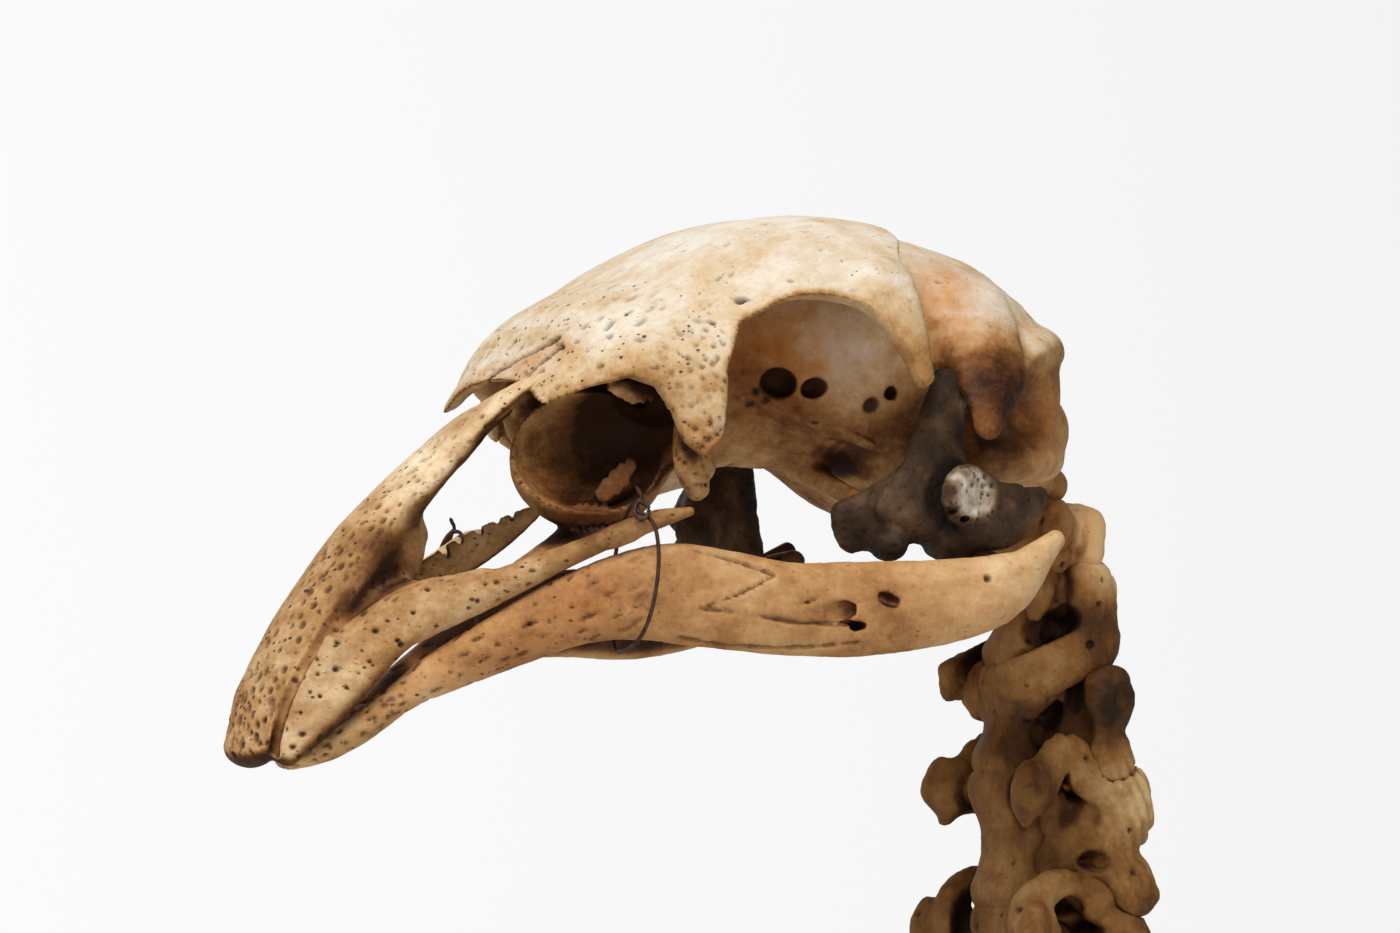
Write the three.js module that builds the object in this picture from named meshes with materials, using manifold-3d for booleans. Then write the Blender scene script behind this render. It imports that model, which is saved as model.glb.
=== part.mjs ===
// Skull, lower jaw and upper neck of a large flightless bird on a plain display stand.
// Millimetres, +Z up. The beak points to -X and the animal's left side is -Y.
// Every bone is drawn in the skull's own axes, whose origin is at the occipital condyle,
// and the whole animal is then lifted onto the stand.
import * as THREE from 'three';
import { mergeVertices } from 'three/addons/utils/BufferGeometryUtils.js';
import Module from 'manifold-3d';

const wasm = await Module();
wasm.setup();
const { Manifold } = wasm;

// ---- sizes that drive the stand -------------------------------------------------
const LIFT = 212;            // height of the skull's own origin above the table
const SKULL_X = 62;          // the skull's origin lies this far behind the base's centre
const BASE_LENGTH = 210;
const BASE_WIDTH = 130;
const BASE_HEIGHT = 16;
const BASE_CORNER = 10;
const BASE_CHAMFER = 1.5;
const ROD_RADIUS = 4;
const ROD_X = -10;           // in the skull's axes
const COLLAR_RADIUS = 9;
const COLLAR_HEIGHT = 6;
const FIT = 0.4;             // air left between neighbouring pieces
const WIRE_RADIUS = 0.4;
const WIRE_X = -130.7;       // the loops' plane, in the skull's axes
const WIRE_Y = 34.2;         // and how far out their middles are
const WIRE_REACH = 6.6;      // half width of a loop
const WIRE_POWER = 2.8;      // above 2 the loop has squarer corners than an ellipse
const WIRE_STEPS = 20;
const NEAR_LOOP = { middle: -24.9, reachUp: 14.6 };
const FAR_LOOP = { middle: -28.2, reachUp: 17.8 };  // longer, because the jaw has sagged there
const BODY_BLUNT = 0.35;     // how rounded the ends of a vertebra's body are

// ---- facets --------------------------------------------------------------------
const FINE = 12;             // sides round the roof and braincase
const COARSE = 8;            // sides round ordinary bars
const MINOR = 5;             // sides round small bars and the arms of the vertebrae
const WIRE_SIDES = 4;
const CAP_RING = 0.55;       // a rounded end's last ring, in half thicknesses past the last station
const CAP_END = 0.85;        // and its tip

// A station along a bone is [x, y, z, half width, half height].
// The half width is measured along `side`, the half height square to it and to the bone.
const ACROSS = [0, 1, 0];
const ALONG = [1, 0, 0];
const UPRIGHT = [0, 0, 1];

// Roof of the skull, front to back.
const ROOF = [
  [-150, 0, -1, 16.5, 8.5],
  [-146, 0, -0.2, 21, 13.7],
  [-141, 0, -0.2, 26, 20.3],
  [-134, 0, -0.2, 31.8, 27.4],
  [-124, 0, 0.9, 38, 32.3],
  [-110, 0, 3.4, 44.5, 35.6],
  [-94, 0, 7.3, 50.5, 39.7],
  [-76, 0, 12, 54, 41.3],
  [-62, 0, 13, 53, 39.5],
  [-50, 0, 11, 47, 37],
];
const ROOF_POWER = 2.5;      // above 2 the section is squarer than an ellipse
const ROOF_SIDE = 4.5;       // thickness of the roof at its sides
const ROOF_TOP = 7;          // and on top
const ROOF_INSIDE = [-145, -64];

// Lower edge of the roof in side view, as [x, z] along each named stretch.
const NASAL_EDGE = [[-149.5, 2.5], [-146, 6.5], [-141.5, 11], [-135.5, 14], [-129, 16.2]];
const TEAR_PROCESS = [[-124.5, 14.2], [-122.5, 9], [-120.5, 3], [-116.5, -0.4], [-113.9, 3.2], [-112.7, 17]];
const FAR_TEAR_LOSS = { at: [-117, 43, -1], radii: [9, 9, 11] };  // the right process has broken off
const ORBIT_RIM = [[-108.1, 27.3], [-96.5, 32], [-84.3, 28.5], [-77.5, 19.5], [-73.2, 13.2]];
const BACK_RIM = [[-69, 16.5], [-69.8, 26], [-70.6, 35], [-69, 42], [-64, 47], [-58, 56]];
const ROOF_CLEAR = 70;       // a height above everything

// The process behind each orbit, from the roof's rim downwards.
const ORBIT_PROCESS = [
  [-76, -47, 35, 6, 3],
  [-73, -50.5, 25, 4, 2.6],
  [-70.4, -52, 17, 1.8, 1.6],
];

const BRAINCASE = [
  [-90, 0, 26, 11, 18],
  [-77, 0, 27, 25, 23],
  [-64, 0, 26, 33.5, 26],
  [-52, 0, 23, 36, 28],
  [-40, 0, 18.5, 35.5, 29.3],
  [-30, 0, 15.5, 33, 26.6],
  [-21, 0, 12, 28.5, 22.3],
  [-12.5, 0, 9, 17.5, 12],
];
const MIDDLE_WALL = [
  [-80, 0, 22, 12, 22],
  [-96, 0, 20, 11, 20],
  [-108, 0, 17, 10, 20],
  [-120, 0, 14, 9, 19],
  [-128, 0, 9, 7, 15],
  [-133, 0, 5, 4.4, 10],
];
const SKULL_FLOOR = [
  [-8, 0, -1, 9, 6],
  [-30, 0, -3, 20, 6],
  [-50, 0, -3, 19, 6.5],
  [-66, 0, 3.6, 13, 4.5],
  [-80, 0, 5.6, 7, 4],
  [-95, 0, 5, 5.5, 5],
];
const PALATINE_BAR = [
  [-96, -5, 0, 4, 4],
  [-110, -6, -4, 5, 3.5],
  [-120, -7, -10, 5, 2.8],
  [-130, -8, -16, 4.5, 2.2],
  [-141, -9, -22, 3.5, 1.5],
];
const PALATINE_STUMP = [[-96, 5, 0, 4, 4], [-108, 6, -3.5, 4.5, 3.5], [-114, 6, -6.5, 3, 2]];
const NOSE_WALL = [
  [-111, -6, 8, 12, 3],
  [-112, -20, 9, 11, 2.5],
  [-113, -31, 10, 9, 2.5],
  [-115, -40, 12, 7, 3],
];
const NOSE_FLANGE = [
  [-116, -35, 14, 3, 2.6],
  [-116, -33.5, 6, 3.8, 2.6],
  [-114.5, -31.5, -1, 4.2, 2.6],
  [-112, -30, -6.5, 2.6, 2.2],
];
const CHEEK_PROCESS = [
  [-43, -29, 36, 9, 4],
  [-45, -35, 28, 10, 4.5],
  [-47, -40, 19, 8, 4.5],
  [-50.5, -45, 11.5, 5.5, 4],
  [-53, -49, 7, 3, 2.4],
];
const NUCHAL_CREST = [
  [-44, -40, 14, 3, 3],
  [-35, -36.5, 19, 3, 3],
  [-22, -27, 25.5, 3, 3],
  [-10, -13, 25.5, 3, 3],
  [-8, 0, 26, 3, 3],
];
const REAR_SHELF = [
  [-46, -31, 1, 4, 4],
  [-35, -28.5, 1.5, 6, 5],
  [-22, -22, 2.5, 7, 5.5],
  [-13, -12.5, 3, 6, 5.5],
];
const BASE_WING = [[-70, -5, 0, 3, 3], [-69.3, -12, -2.6, 2.6, 2.6], [-68.5, -24, -6.8, 1.8, 2]];
const CONDYLE = { at: [-1, 0, -2], radii: [5, 5, 4.5] };

// Hollows, as ellipsoids.
const ORBIT = { at: [-92, -46, 8], radii: [20.5, 33.5, 25] };
const NOSE_CHAMBER = { at: [-123, -20.5, 2], radii: [14.2, 16.5, 13.6] };
const TEMPLE = { at: [-62, -48, 26], radii: [8.5, 17, 27], turned: [12, 0, 0] };
const EAR = { at: [-25, -39, 11], radii: [12, 13, 11] };
const JAW_SOCKET = { at: [-53, -37, 5], radii: [9, 10, 10] };
const NECK_HOLE = { at: [1, 0, 9], radii: [9, 6.5, 6] };

// Upper bill.
const CULMEN = [
  [-142.5, 0, 10.6, 6.5, 2.2],
  [-149.2, 0, 6, 8, 2.6],
  [-162.6, 0, -6, 9, 4],
  [-178, 0, -23.2, 9.6, 5.4],
  [-189.5, 0, -41.3, 10.5, 6.1],
  [-195.8, 0, -54, 9.8, 6],
  [-199, 0, -58.5, 8, 4.2],
];
const NEAR_PRONG = [[-155, -4, 2.5, 5, 3], [-147, -9.5, 11.2, 4, 1.8], [-140.2, -15.9, 16.6, 1, 0.8]];
const BILL_SIDE = [
  [-196, -8, -57, 3.4, 3.4],
  [-191, -10, -50, 3.4, 6],
  [-184, -11.8, -41.5, 3.4, 8],
  [-177, -13.8, -34.4, 3.4, 6.5],
  [-168, -16.6, -29.5, 4, 4.6],
  [-158, -21, -26, 3.2, 3.2],
];
const BILL_EDGE = [
  [-195, -9, -60, 2.6, 2.2],
  [-188, -12.5, -51.8, 2.6, 3],
  [-176, -16.8, -38.2, 2.4, 2.6],
  [-170, -18.6, -33.8, 2.4, 3.2],
  [-152, -25.5, -24.6, 2.6, 3],
  [-140, -30.8, -18.9, 2.2, 2.2],
  [-132, -34.8, -15.2, 2, 2],
  [-126.5, -37.2, -12.8, 1.7, 1.9],
  [-120.2, -39.8, -11.2, 0.8, 0.9],
];
const FAR_DROP = 2.4;         // the far cheek bar has sagged by this much
const BILL_SEPTUM = [
  [-193, 0, -50, 9, 7],
  [-184, 0, -38, 9, 9],
  [-175, 0, -27, 8, 10],
  [-169, 0, -18, 6, 11],
  [-165.5, 0, -12, 4, 9],
];
const BILL_PALATE = [
  [-190, 0, -50, 11, 2.6],
  [-181, 0, -40, 14, 4],
  [-173, 0, -31.5, 17, 5],
  [-167, 0, -27.5, 18, 3],
];
const PALATE_PLATE = [
  [-169, 8, -33, 1.8, 3],
  [-160, 8, -27.5, 1.5, 3],
  [-151, 8, -22.6, 1.1, 3.8],
  [-141, 8, -17.4, 1, 3.8],
  [-131, 8, -11.8, 0.9, 2.2],
  [-126, 8, -8.9, 0.7, 0.9],
];
const NOSTRIL = { at: [-165, -20, -13.5], radii: [12, 12, 8.4], turned: [0, -38, 0] };
const BILL_HOLLOW = { at: [-174, -17, -22], radii: [9, 5, 7], turned: [0, -45, 0] };

// Lower jaw.
const JAW_SIDE = [
  [-187, -8.5, -59, 2.4, 2],
  [-173, -14, -48.8, 3, 3.2],
  [-166, -17.5, -44, 3.2, 4.4],
  [-152, -24, -36.4, 3.4, 6],
  [-140, -29, -30.8, 3.6, 7.4],
  [-129, -33.8, -28, 3.8, 9.2],
  [-119, -37.4, -27.9, 4, 10.2],
  [-99, -42, -30.6, 4, 9.5],
  [-84, -44.5, -30.7, 4, 9.8],
  [-70, -47, -29.8, 4, 9.2],
  [-58, -49, -28, 4.2, 8.3],
  [-48, -50, -25.3, 4.2, 6.3],
  [-36, -50, -15.8, 1.8, 2],
];
const JAW_SAG = 8.6;          // the far branch hangs this much lower at its middle
const JAW_THINNEST = 2;      // half height of its thinnest place
const JAW_TIP = [
  [-190, 0, -61.2, 5, 1.8],
  [-184, 0, -59.4, 9, 2.2],
  [-177, 0, -55.4, 11.5, 2.2],
  [-171, 0, -51.6, 12, 1.8],
];
const JAW_INNER = [[-51, -48, -22.5, 5, 3.6], [-48, -40, -20.5, 4.6, 3.2], [-46, -33, -18.5, 3, 2.4]];
const JAW_SEAT = { at: [-54, -45, -14.2], radii: [8, 9, 5.4] };

// Quadrate, left side.
const QUADRATE_SHAFT = [
  [-54.5, -38, 17, 4.5, 3],
  [-57, -39, 10, 5, 3.2],
  [-59, -39.5, 3, 6.5, 3.4],
  [-60.5, -40, -5, 9.5, 4],
  [-62, -40, -12, 12.5, 4.4],
];
const QUADRATE_NOSE = [[-66, -38, -9, 4.4, 7.5], [-71, -33.5, -11.5, 3.4, 6.6], [-75.5, -30, -13.5, 2.4, 5.4]];
const QUADRATE_ARM = [
  [-55, -46.5, -9.5, 3, 5.8],
  [-48, -48, -9.5, 2.8, 5.6],
  [-42, -48.3, -9, 2.2, 4.8],
  [-38.5, -48.3, -6.5, 1.4, 2.2],
];
const QUADRATE_FOOT = { at: [-62, -38.5, -14], radii: [7, 5, 4] };
const QUADRATE_KNOBS = [
  { at: [-51, -45.5, -13.8], radii: [8, 6.5, 4.5] },
  { at: [-56, -48, -7.5], radii: [7, 6, 6] },
];

// Neck: each vertebra runs from the centre of its upper face to that of its lower face.
// `arch` is how far behind the body the arch stands, `wing` how far out the side wings reach,
// `forward` how far ahead of the body's axis and `lift` at what share of the way down they end,
// `arms` how far out the joint arms stand and `back` how far behind the arch they lie.
const NECK = [
  {
    name: 'atlas', top: [-4.5, -9], foot: [-6, -19.5], half: 11.5,
    arch: 8, wing: 14, forward: 3, lift: 0.2, spine: 1, arms: 0,
  },
  {
    name: 'axis', top: [-6, -20], foot: [-9.5, -42], half: 9,
    arch: 13, wing: 10.5, forward: 4, lift: 0.2, spine: 9, arms: 11, back: -1,
  },
  {
    name: 'cervical_3', top: [-10, -43], foot: [-12, -65], half: 9,
    arch: 13, wing: 10.5, forward: 2.2, lift: 0.12, spine: 2, arms: 15, back: 5,
  },
  {
    name: 'cervical_4', top: [-12, -66], foot: [-11, -94], half: 10,
    arch: 14, wing: 16.5, forward: 7, lift: 0.04, spine: 3, arms: 16, back: 9,
  },
  {
    name: 'cervical_5', top: [-11, -95], foot: [ROD_X, -124], half: 10.5,
    arch: 14, wing: 20, forward: 9, lift: 0.1, spine: 3, arms: 16, back: 8,
  },
];

// ---- building blocks -------------------------------------------------------------

function solid(positions, triangles) {
  const geometry = new THREE.BufferGeometry();
  geometry.setAttribute('position', new THREE.Float32BufferAttribute(positions, 3));
  geometry.setIndex(triangles);
  return toManifold(geometry);
}

function toManifold(geometry) {
  geometry.deleteAttribute('normal');
  geometry.deleteAttribute('uv');
  const welded = mergeVertices(geometry, 1e-4);
  const mesh = new wasm.Mesh({
    numProp: 3,
    vertProperties: new Float32Array(welded.attributes.position.array),
    triVerts: new Uint32Array(welded.index.array),
  });
  mesh.merge();
  return new Manifold(mesh);
}

function toGeometry(body) {
  const mesh = body.getMesh();
  const geometry = new THREE.BufferGeometry();
  const positions = Float32Array.from(mesh.vertProperties);
  geometry.setAttribute('position', new THREE.BufferAttribute(positions, 3));
  geometry.setIndex([...mesh.triVerts]);
  geometry.computeVertexNormals();
  return geometry;
}

// A bar of bone through its stations, rounded at both ends; `blunt` below 1 flattens the ends.
function bar(stations, { side = ACROSS, sides = COARSE, power = 2, steps = 1, blunt = 1 } = {}) {
  const curve = (points) => new THREE.CatmullRomCurve3(points, false, 'catmullrom');
  const spine = curve(stations.map(([x, y, z]) => new THREE.Vector3(x, y, z)));
  const size = curve(stations.map(([, , , a, b]) => new THREE.Vector3(a, b, 0)));
  const reference = new THREE.Vector3(...side);
  const rings = [];
  const count = (stations.length - 1) * steps;
  for (let i = 0; i <= count; i += 1) {
    const tangent = spine.getTangent(i / count);
    const across = reference.clone().addScaledVector(tangent, -reference.dot(tangent)).normalize();
    const up = new THREE.Vector3().crossVectors(tangent, across);
    const { x: a, y: b } = size.getPoint(i / count);
    rings.push({ centre: spine.getPoint(i / count), across, up, tangent, a, b });
  }
  const swell = (ring, sign, share, shrink) => ({
    ...ring,
    centre: ring.centre.clone().addScaledVector(ring.tangent, sign * share * blunt * Math.min(ring.a, ring.b)),
    a: ring.a * shrink,
    b: ring.b * shrink,
  });
  const first = rings[0];
  const last = rings[count];
  const all = [swell(first, -1, CAP_RING, 0.7), ...rings, swell(last, 1, CAP_RING, 0.7)];
  const positions = [];
  for (const ring of all) {
    for (let j = 0; j < sides; j += 1) {
      const angle = (2 * Math.PI * j) / sides;
      const c = Math.cos(angle);
      const s = Math.sin(angle);
      const reach = (Math.abs(c) ** power + Math.abs(s) ** power) ** (-1 / power);
      const point = ring.centre.clone();
      point.addScaledVector(ring.across, ring.a * reach * c);
      point.addScaledVector(ring.up, ring.b * reach * s);
      positions.push(point.x, point.y, point.z);
    }
  }
  const head = swell(first, -1, CAP_END, 1).centre;
  const tail = swell(last, 1, CAP_END, 1).centre;
  positions.push(head.x, head.y, head.z, tail.x, tail.y, tail.z);
  const triangles = [];
  const headIndex = all.length * sides;
  for (let j = 0; j < sides; j += 1) {
    const k = (j + 1) % sides;
    triangles.push(headIndex, k, j);
    for (let i = 0; i + 1 < all.length; i += 1) {
      const p = i * sides;
      const q = p + sides;
      triangles.push(p + j, p + k, q + k, p + j, q + k, q + j);
    }
    const end = (all.length - 1) * sides;
    triangles.push(headIndex + 1, end + j, end + k);
  }
  return solid(positions, triangles);
}

// An ellipsoid, turned by degrees about X, then Y, then Z.
function lump({ at, radii, turned = [0, 0, 0] }, sides = 9) {
  const geometry = new THREE.SphereGeometry(1, sides, Math.round(sides * 0.6));
  geometry.scale(...radii);
  geometry.rotateX(THREE.MathUtils.degToRad(turned[0]));
  geometry.rotateY(THREE.MathUtils.degToRad(turned[1]));
  geometry.rotateZ(THREE.MathUtils.degToRad(turned[2]));
  geometry.translate(...at);
  return toManifold(geometry);
}

// 0 below low, 1 above high, smooth between; low may lie above high.
function ramp(low, high, value) {
  const t = THREE.MathUtils.clamp((value - low) / (high - low), 0, 1);
  return t * t * (3 - 2 * t);
}

// The same piece on the animal's other side.
const mirrored = (body) => body.mirror([0, 1, 0]);
const both = (body) => body.add(mirrored(body));
const join = (bodies) => bodies.reduce((sum, body) => sum.add(body));
const pair = (stations, options) => both(bar(stations, options));
const hollow = (opening, sides) => both(lump(opening, sides));
const grown = (stations, d) => stations.map(([x, y, z, a, b]) => [x, y, z, a + d, b + d]);

// A side outline in X and Z, as thick across as the whole skull.
function sideways(outline) {
  const shape = new THREE.Shape(outline.map(([x, z]) => new THREE.Vector2(x, z)));
  const width = 2 * ROOF_CLEAR;
  const geometry = new THREE.ExtrudeGeometry(shape, { depth: width, bevelEnabled: false, curveSegments: 4 });
  geometry.rotateX(Math.PI / 2);
  geometry.translate(0, width / 2, 0);
  return toManifold(geometry);
}

// ---- bones -------------------------------------------------------------------------

function makeRoof() {
  const edge = [...NASAL_EDGE, ...TEAR_PROCESS, ...ORBIT_RIM, ...BACK_RIM];
  const rear = edge[edge.length - 1];
  const [front, low] = edge[0];
  const outline = [...edge, [rear[0] + 6, ROOF_CLEAR], [front - 12, ROOF_CLEAR], [front - 12, low]];
  const outside = bar(ROOF, { sides: FINE, power: ROOF_POWER });
  const thinned = ROOF.filter(([x]) => x > ROOF_INSIDE[0] && x < ROOF_INSIDE[1]);
  const inside = bar(
    thinned.map(([x, y, z, a, b]) => [x, y, z, a - ROOF_SIDE, b - ROOF_TOP]),
    { sides: FINE, power: ROOF_POWER },
  );
  return outside.intersect(sideways(outline)).subtract(inside);
}

function makeCranium() {
  const core = join([
    makeRoof(),
    bar(BRAINCASE, { sides: FINE }),
    bar(MIDDLE_WALL),
    bar(SKULL_FLOOR, { sides: MINOR }),
    pair(NOSE_WALL, { side: UPRIGHT, sides: MINOR }),
  ]);
  const openings = [ORBIT, NOSE_CHAMBER, TEMPLE, EAR, JAW_SOCKET];
  const paired = openings.reduce((body, opening) => body.subtract(hollow(opening)), core);
  const opened = paired.subtract(lump(FAR_TEAR_LOSS));
  const whole = join([
    opened,
    bar(PALATINE_BAR, { sides: MINOR }),
    bar(PALATINE_STUMP, { sides: MINOR }),
    bar(NOSE_FLANGE, { side: ALONG, sides: MINOR }),
    pair(ORBIT_PROCESS, { side: ALONG, sides: MINOR }),
    pair(CHEEK_PROCESS, { side: ALONG, sides: MINOR }),
    pair(NUCHAL_CREST, { sides: MINOR }),
    pair(REAR_SHELF, { sides: MINOR }),
    pair(BASE_WING, { sides: MINOR }),
    lump(CONDYLE, 8),
  ]);
  const bill = bar(grown(CULMEN, FIT)).add(bar(grown(NEAR_PRONG, FIT), { sides: MINOR }));
  const quadrateShaft = pair(grown(QUADRATE_SHAFT, FIT), { side: ALONG });
  const quadrates = quadrateShaft.add(pair(grown(QUADRATE_NOSE, FIT), { sides: MINOR }));
  return whole.subtract(lump(NECK_HOLE)).subtract(bill).subtract(quadrates);
}

function makeUpperBill() {
  const farEdge = BILL_EDGE.map(([x, y, z, a, b]) => [x, -y, z - FAR_DROP * ramp(-172, -150, x), a, b]);
  const core = join([
    bar(CULMEN),
    bar(NEAR_PRONG, { sides: MINOR }),
    pair(BILL_SIDE, { sides: MINOR }),
    bar(BILL_EDGE, { sides: MINOR }),
    bar(farEdge, { sides: MINOR }),
    bar(BILL_SEPTUM, { sides: MINOR }),
    bar(BILL_PALATE, { sides: MINOR }),
  ]);
  const opened = core.subtract(hollow(NOSTRIL)).subtract(hollow(BILL_HOLLOW));
  return opened.add(bar(PALATE_PLATE, { sides: MINOR }));
}

function makeLowerJaw() {
  const farSide = JAW_SIDE.map(([x, y, z, a, b]) => {
    const sag = JAW_SAG * ramp(-188, -164, x) * ramp(-100, -140, x);
    return [x, -y, z - sag, a, Math.max(b - 0.42 * sag, JAW_THINNEST)];
  });
  const core = join([bar(JAW_SIDE), bar(farSide), bar(JAW_TIP), pair(JAW_INNER, { side: ALONG })]);
  return core.subtract(hollow(JAW_SEAT));
}

// The inner half of the bone, which both sides have.
function makeQuadrateCore() {
  const shaft = bar(QUADRATE_SHAFT, { side: ALONG });
  return shaft.add(bar(QUADRATE_NOSE, { sides: MINOR })).add(lump(QUADRATE_FOOT, 8));
}

// The outer cup and arm, which only the left one still has.
function makeQuadrateOuter() {
  return join([bar(QUADRATE_ARM), ...QUADRATE_KNOBS.map((knob) => lump(knob, 8))]);
}

// Stations of a vertebra are placed by the share of the way down its body, and by how far
// behind the body's axis and to which side they lie.
function stationsOf({ top, foot }) {
  return (share, behind, y, a, b) => [
    top[0] + (foot[0] - top[0]) * share + behind,
    y,
    top[1] + (foot[1] - top[1]) * share,
    a,
    b,
  ];
}

// The pair of joint arms beside the arch, larger by a margin. They hang over the next vertebra.
function makeArms(vertebra, margin = 0) {
  const { arch, arms, back } = vertebra;
  const at = stationsOf(vertebra);
  const stations = [
    at(0.12, arch + back - 3, -arms * 0.95, 5.5, 4.2),
    at(0.32, arch + back - 2, -arms * 0.92, 6.5, 5),
    at(0.58, arch + back * 0.45, -arms * 0.8, 6, 4.6),
    at(0.95, arch + back, -arms, 5.5, 3.8),
  ];
  return pair(grown(stations, margin), { side: ALONG, sides: MINOR });
}

// A vertebra: spool-shaped body, arch behind it, side wings, paired joint arms and a low spine.
function makeVertebra(vertebra) {
  const { top, foot, half, arch, wing, forward, lift, spine, arms } = vertebra;
  const tall = top[1] - foot[1];
  const at = stationsOf(vertebra);
  const depth = half * 0.7;
  const end = (CAP_END * BODY_BLUNT * depth) / tall;
  const body = bar(
    [at(end, 0, 0, half, depth), at(0.5, 0.5, 0, half * 0.7, depth * 0.8), at(1 - end, 0, 0, half, depth)],
    { power: 2.4, blunt: BODY_BLUNT },
  );
  const hood = bar(
    [at(0.25, arch, 0, half * 1.2, half * 0.45), at(0.75, arch, 0, half * 1.2, half * 0.45)],
    { sides: MINOR + 1, blunt: BODY_BLUNT },
  );
  const wall = [at(0.48, 0, -half * 0.5, tall * 0.27, 3), at(0.5, arch, -half * 0.6, tall * 0.27, 3)];
  const ridge = [at(0.3, arch + 1, 0, tall * 0.25, 3), at(0.3, arch + 2 + spine, 0, tall * 0.24, 2)];
  const wingBar = [
    at(lift + 0.14, arch * 0.5, -half * 0.7, 4.2, 3.4),
    at(lift + 0.08, 0, -wing * 0.7, 4.8, 3.2),
    at(lift, -forward, -wing, 5.4, 2.6),
  ];
  const pieces = [body, hood, bar(ridge, { side: UPRIGHT, sides: MINOR })];
  for (const stations of [wall, wingBar]) pieces.push(pair(stations, { side: UPRIGHT, sides: MINOR }));
  if (arms) pieces.push(makeArms(vertebra));
  return join(pieces);
}

// A loop of soft wire round the cheek bar and the jaw below it, with squarish corners.
function makeWireLoop({ middle, reachUp }) {
  const centre = new THREE.Vector3(WIRE_X, -WIRE_Y, middle);
  const positions = [];
  const triangles = [];
  const rim = (turn) => {
    const c = Math.cos(turn);
    const s = Math.sin(turn);
    const r = (Math.abs(c) ** WIRE_POWER + Math.abs(s) ** WIRE_POWER) ** (-1 / WIRE_POWER);
    return new THREE.Vector3(centre.x, centre.y + WIRE_REACH * r * c, centre.z + reachUp * r * s);
  };
  for (let i = 0; i < WIRE_STEPS; i += 1) {
    const turn = (2 * Math.PI * i) / WIRE_STEPS;
    const here = rim(turn);
    const onward = rim(turn + 0.01).sub(rim(turn - 0.01));
    const outward = onward.cross(new THREE.Vector3(1, 0, 0)).normalize();
    for (let j = 0; j < WIRE_SIDES; j += 1) {
      const angle = (2 * Math.PI * j) / WIRE_SIDES;
      const point = here.clone().addScaledVector(outward, WIRE_RADIUS * Math.cos(angle));
      point.x += WIRE_RADIUS * Math.sin(angle);
      positions.push(point.x, point.y, point.z);
      const k = (j + 1) % WIRE_SIDES;
      const p = i * WIRE_SIDES;
      const q = ((i + 1) % WIRE_STEPS) * WIRE_SIDES;
      triangles.push(p + j, q + k, p + k, p + j, q + j, q + k);
    }
  }
  const loop = solid(positions, triangles);
  return loop.volume() < 0 ? solid(positions, triangles.reverse()) : loop;
}

function makeBase() {
  const x = BASE_LENGTH / 2 - BASE_CHAMFER;
  const y = BASE_WIDTH / 2 - BASE_CHAMFER;
  const r = BASE_CORNER;
  const shape = new THREE.Shape();
  shape.moveTo(-x + r, -y);
  shape.lineTo(x - r, -y);
  shape.absarc(x - r, -y + r, r, -Math.PI / 2, 0);
  shape.lineTo(x, y - r);
  shape.absarc(x - r, y - r, r, 0, Math.PI / 2);
  shape.lineTo(-x + r, y);
  shape.absarc(-x + r, y - r, r, Math.PI / 2, Math.PI);
  shape.lineTo(-x, -y + r);
  shape.absarc(-x + r, -y + r, r, Math.PI, 1.5 * Math.PI);
  const geometry = new THREE.ExtrudeGeometry(shape, {
    depth: BASE_HEIGHT - 2 * BASE_CHAMFER,
    curveSegments: 4,
    bevelEnabled: true,
    bevelThickness: BASE_CHAMFER,
    bevelSize: BASE_CHAMFER,
    bevelSegments: 1,
  });
  geometry.translate(0, 0, BASE_CHAMFER);
  return toManifold(geometry);
}

// The rod with the collar that screws it down.
function makeRod() {
  const foot = BASE_HEIGHT + FIT;
  const head = LIFT + NECK[NECK.length - 1].foot[1] - FIT;
  const profile = [
    [0, foot],
    [COLLAR_RADIUS, foot],
    [COLLAR_RADIUS, foot + COLLAR_HEIGHT - 1],
    [COLLAR_RADIUS - 1, foot + COLLAR_HEIGHT],
    [ROD_RADIUS, foot + COLLAR_HEIGHT],
    [ROD_RADIUS, head],
    [0, head],
  ];
  const geometry = new THREE.LatheGeometry(profile.map(([r, z]) => new THREE.Vector2(r, z)), 20);
  geometry.rotateX(Math.PI / 2);
  geometry.translate(SKULL_X + ROD_X, 0, 0);
  return toManifold(geometry);
}

// ---- the part ----------------------------------------------------------------------

const group = new THREE.Group();

function place(name, body, colour, { metalness = 0, roughness = 0.75, onAnimal = true } = {}) {
  const material = new THREE.MeshStandardMaterial({ color: colour, metalness, roughness });
  const moved = onAnimal ? body.translate([SKULL_X, 0, LIFT]) : body;
  const mesh = new THREE.Mesh(toGeometry(moved), material);
  mesh.name = name;
  group.add(mesh);
}

const quadrateCore = makeQuadrateCore();

place('cranium', makeCranium(), 0xd9c19a);
place('upper_bill', makeUpperBill(), 0xc9ab80);
place('mandible', makeLowerJaw(), 0xb68c5c);
place('quadrate_left', quadrateCore.add(makeQuadrateOuter()), 0x6a5546);
place('quadrate_right', mirrored(quadrateCore), 0x6a5546);
let above = lump({ at: CONDYLE.at, radii: CONDYLE.radii.map((radius) => radius + FIT) });
for (const vertebra of NECK) {
  place(vertebra.name, makeVertebra(vertebra).subtract(above), 0x94704a);
  above = vertebra.arms ? makeArms(vertebra, FIT) : above;
}
place('wire_left', makeWireLoop(NEAR_LOOP), 0x3a2620, { metalness: 0.8, roughness: 0.6 });
place('wire_right', mirrored(makeWireLoop(FAR_LOOP)), 0x3a2620, { metalness: 0.8, roughness: 0.6 });
place('stand_base', makeBase(), 0x2f2a26, { roughness: 0.5, onAnimal: false });
place('stand_rod', makeRod(), 0x8f9296, { metalness: 1, roughness: 0.35, onAnimal: false });

export default group;
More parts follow.
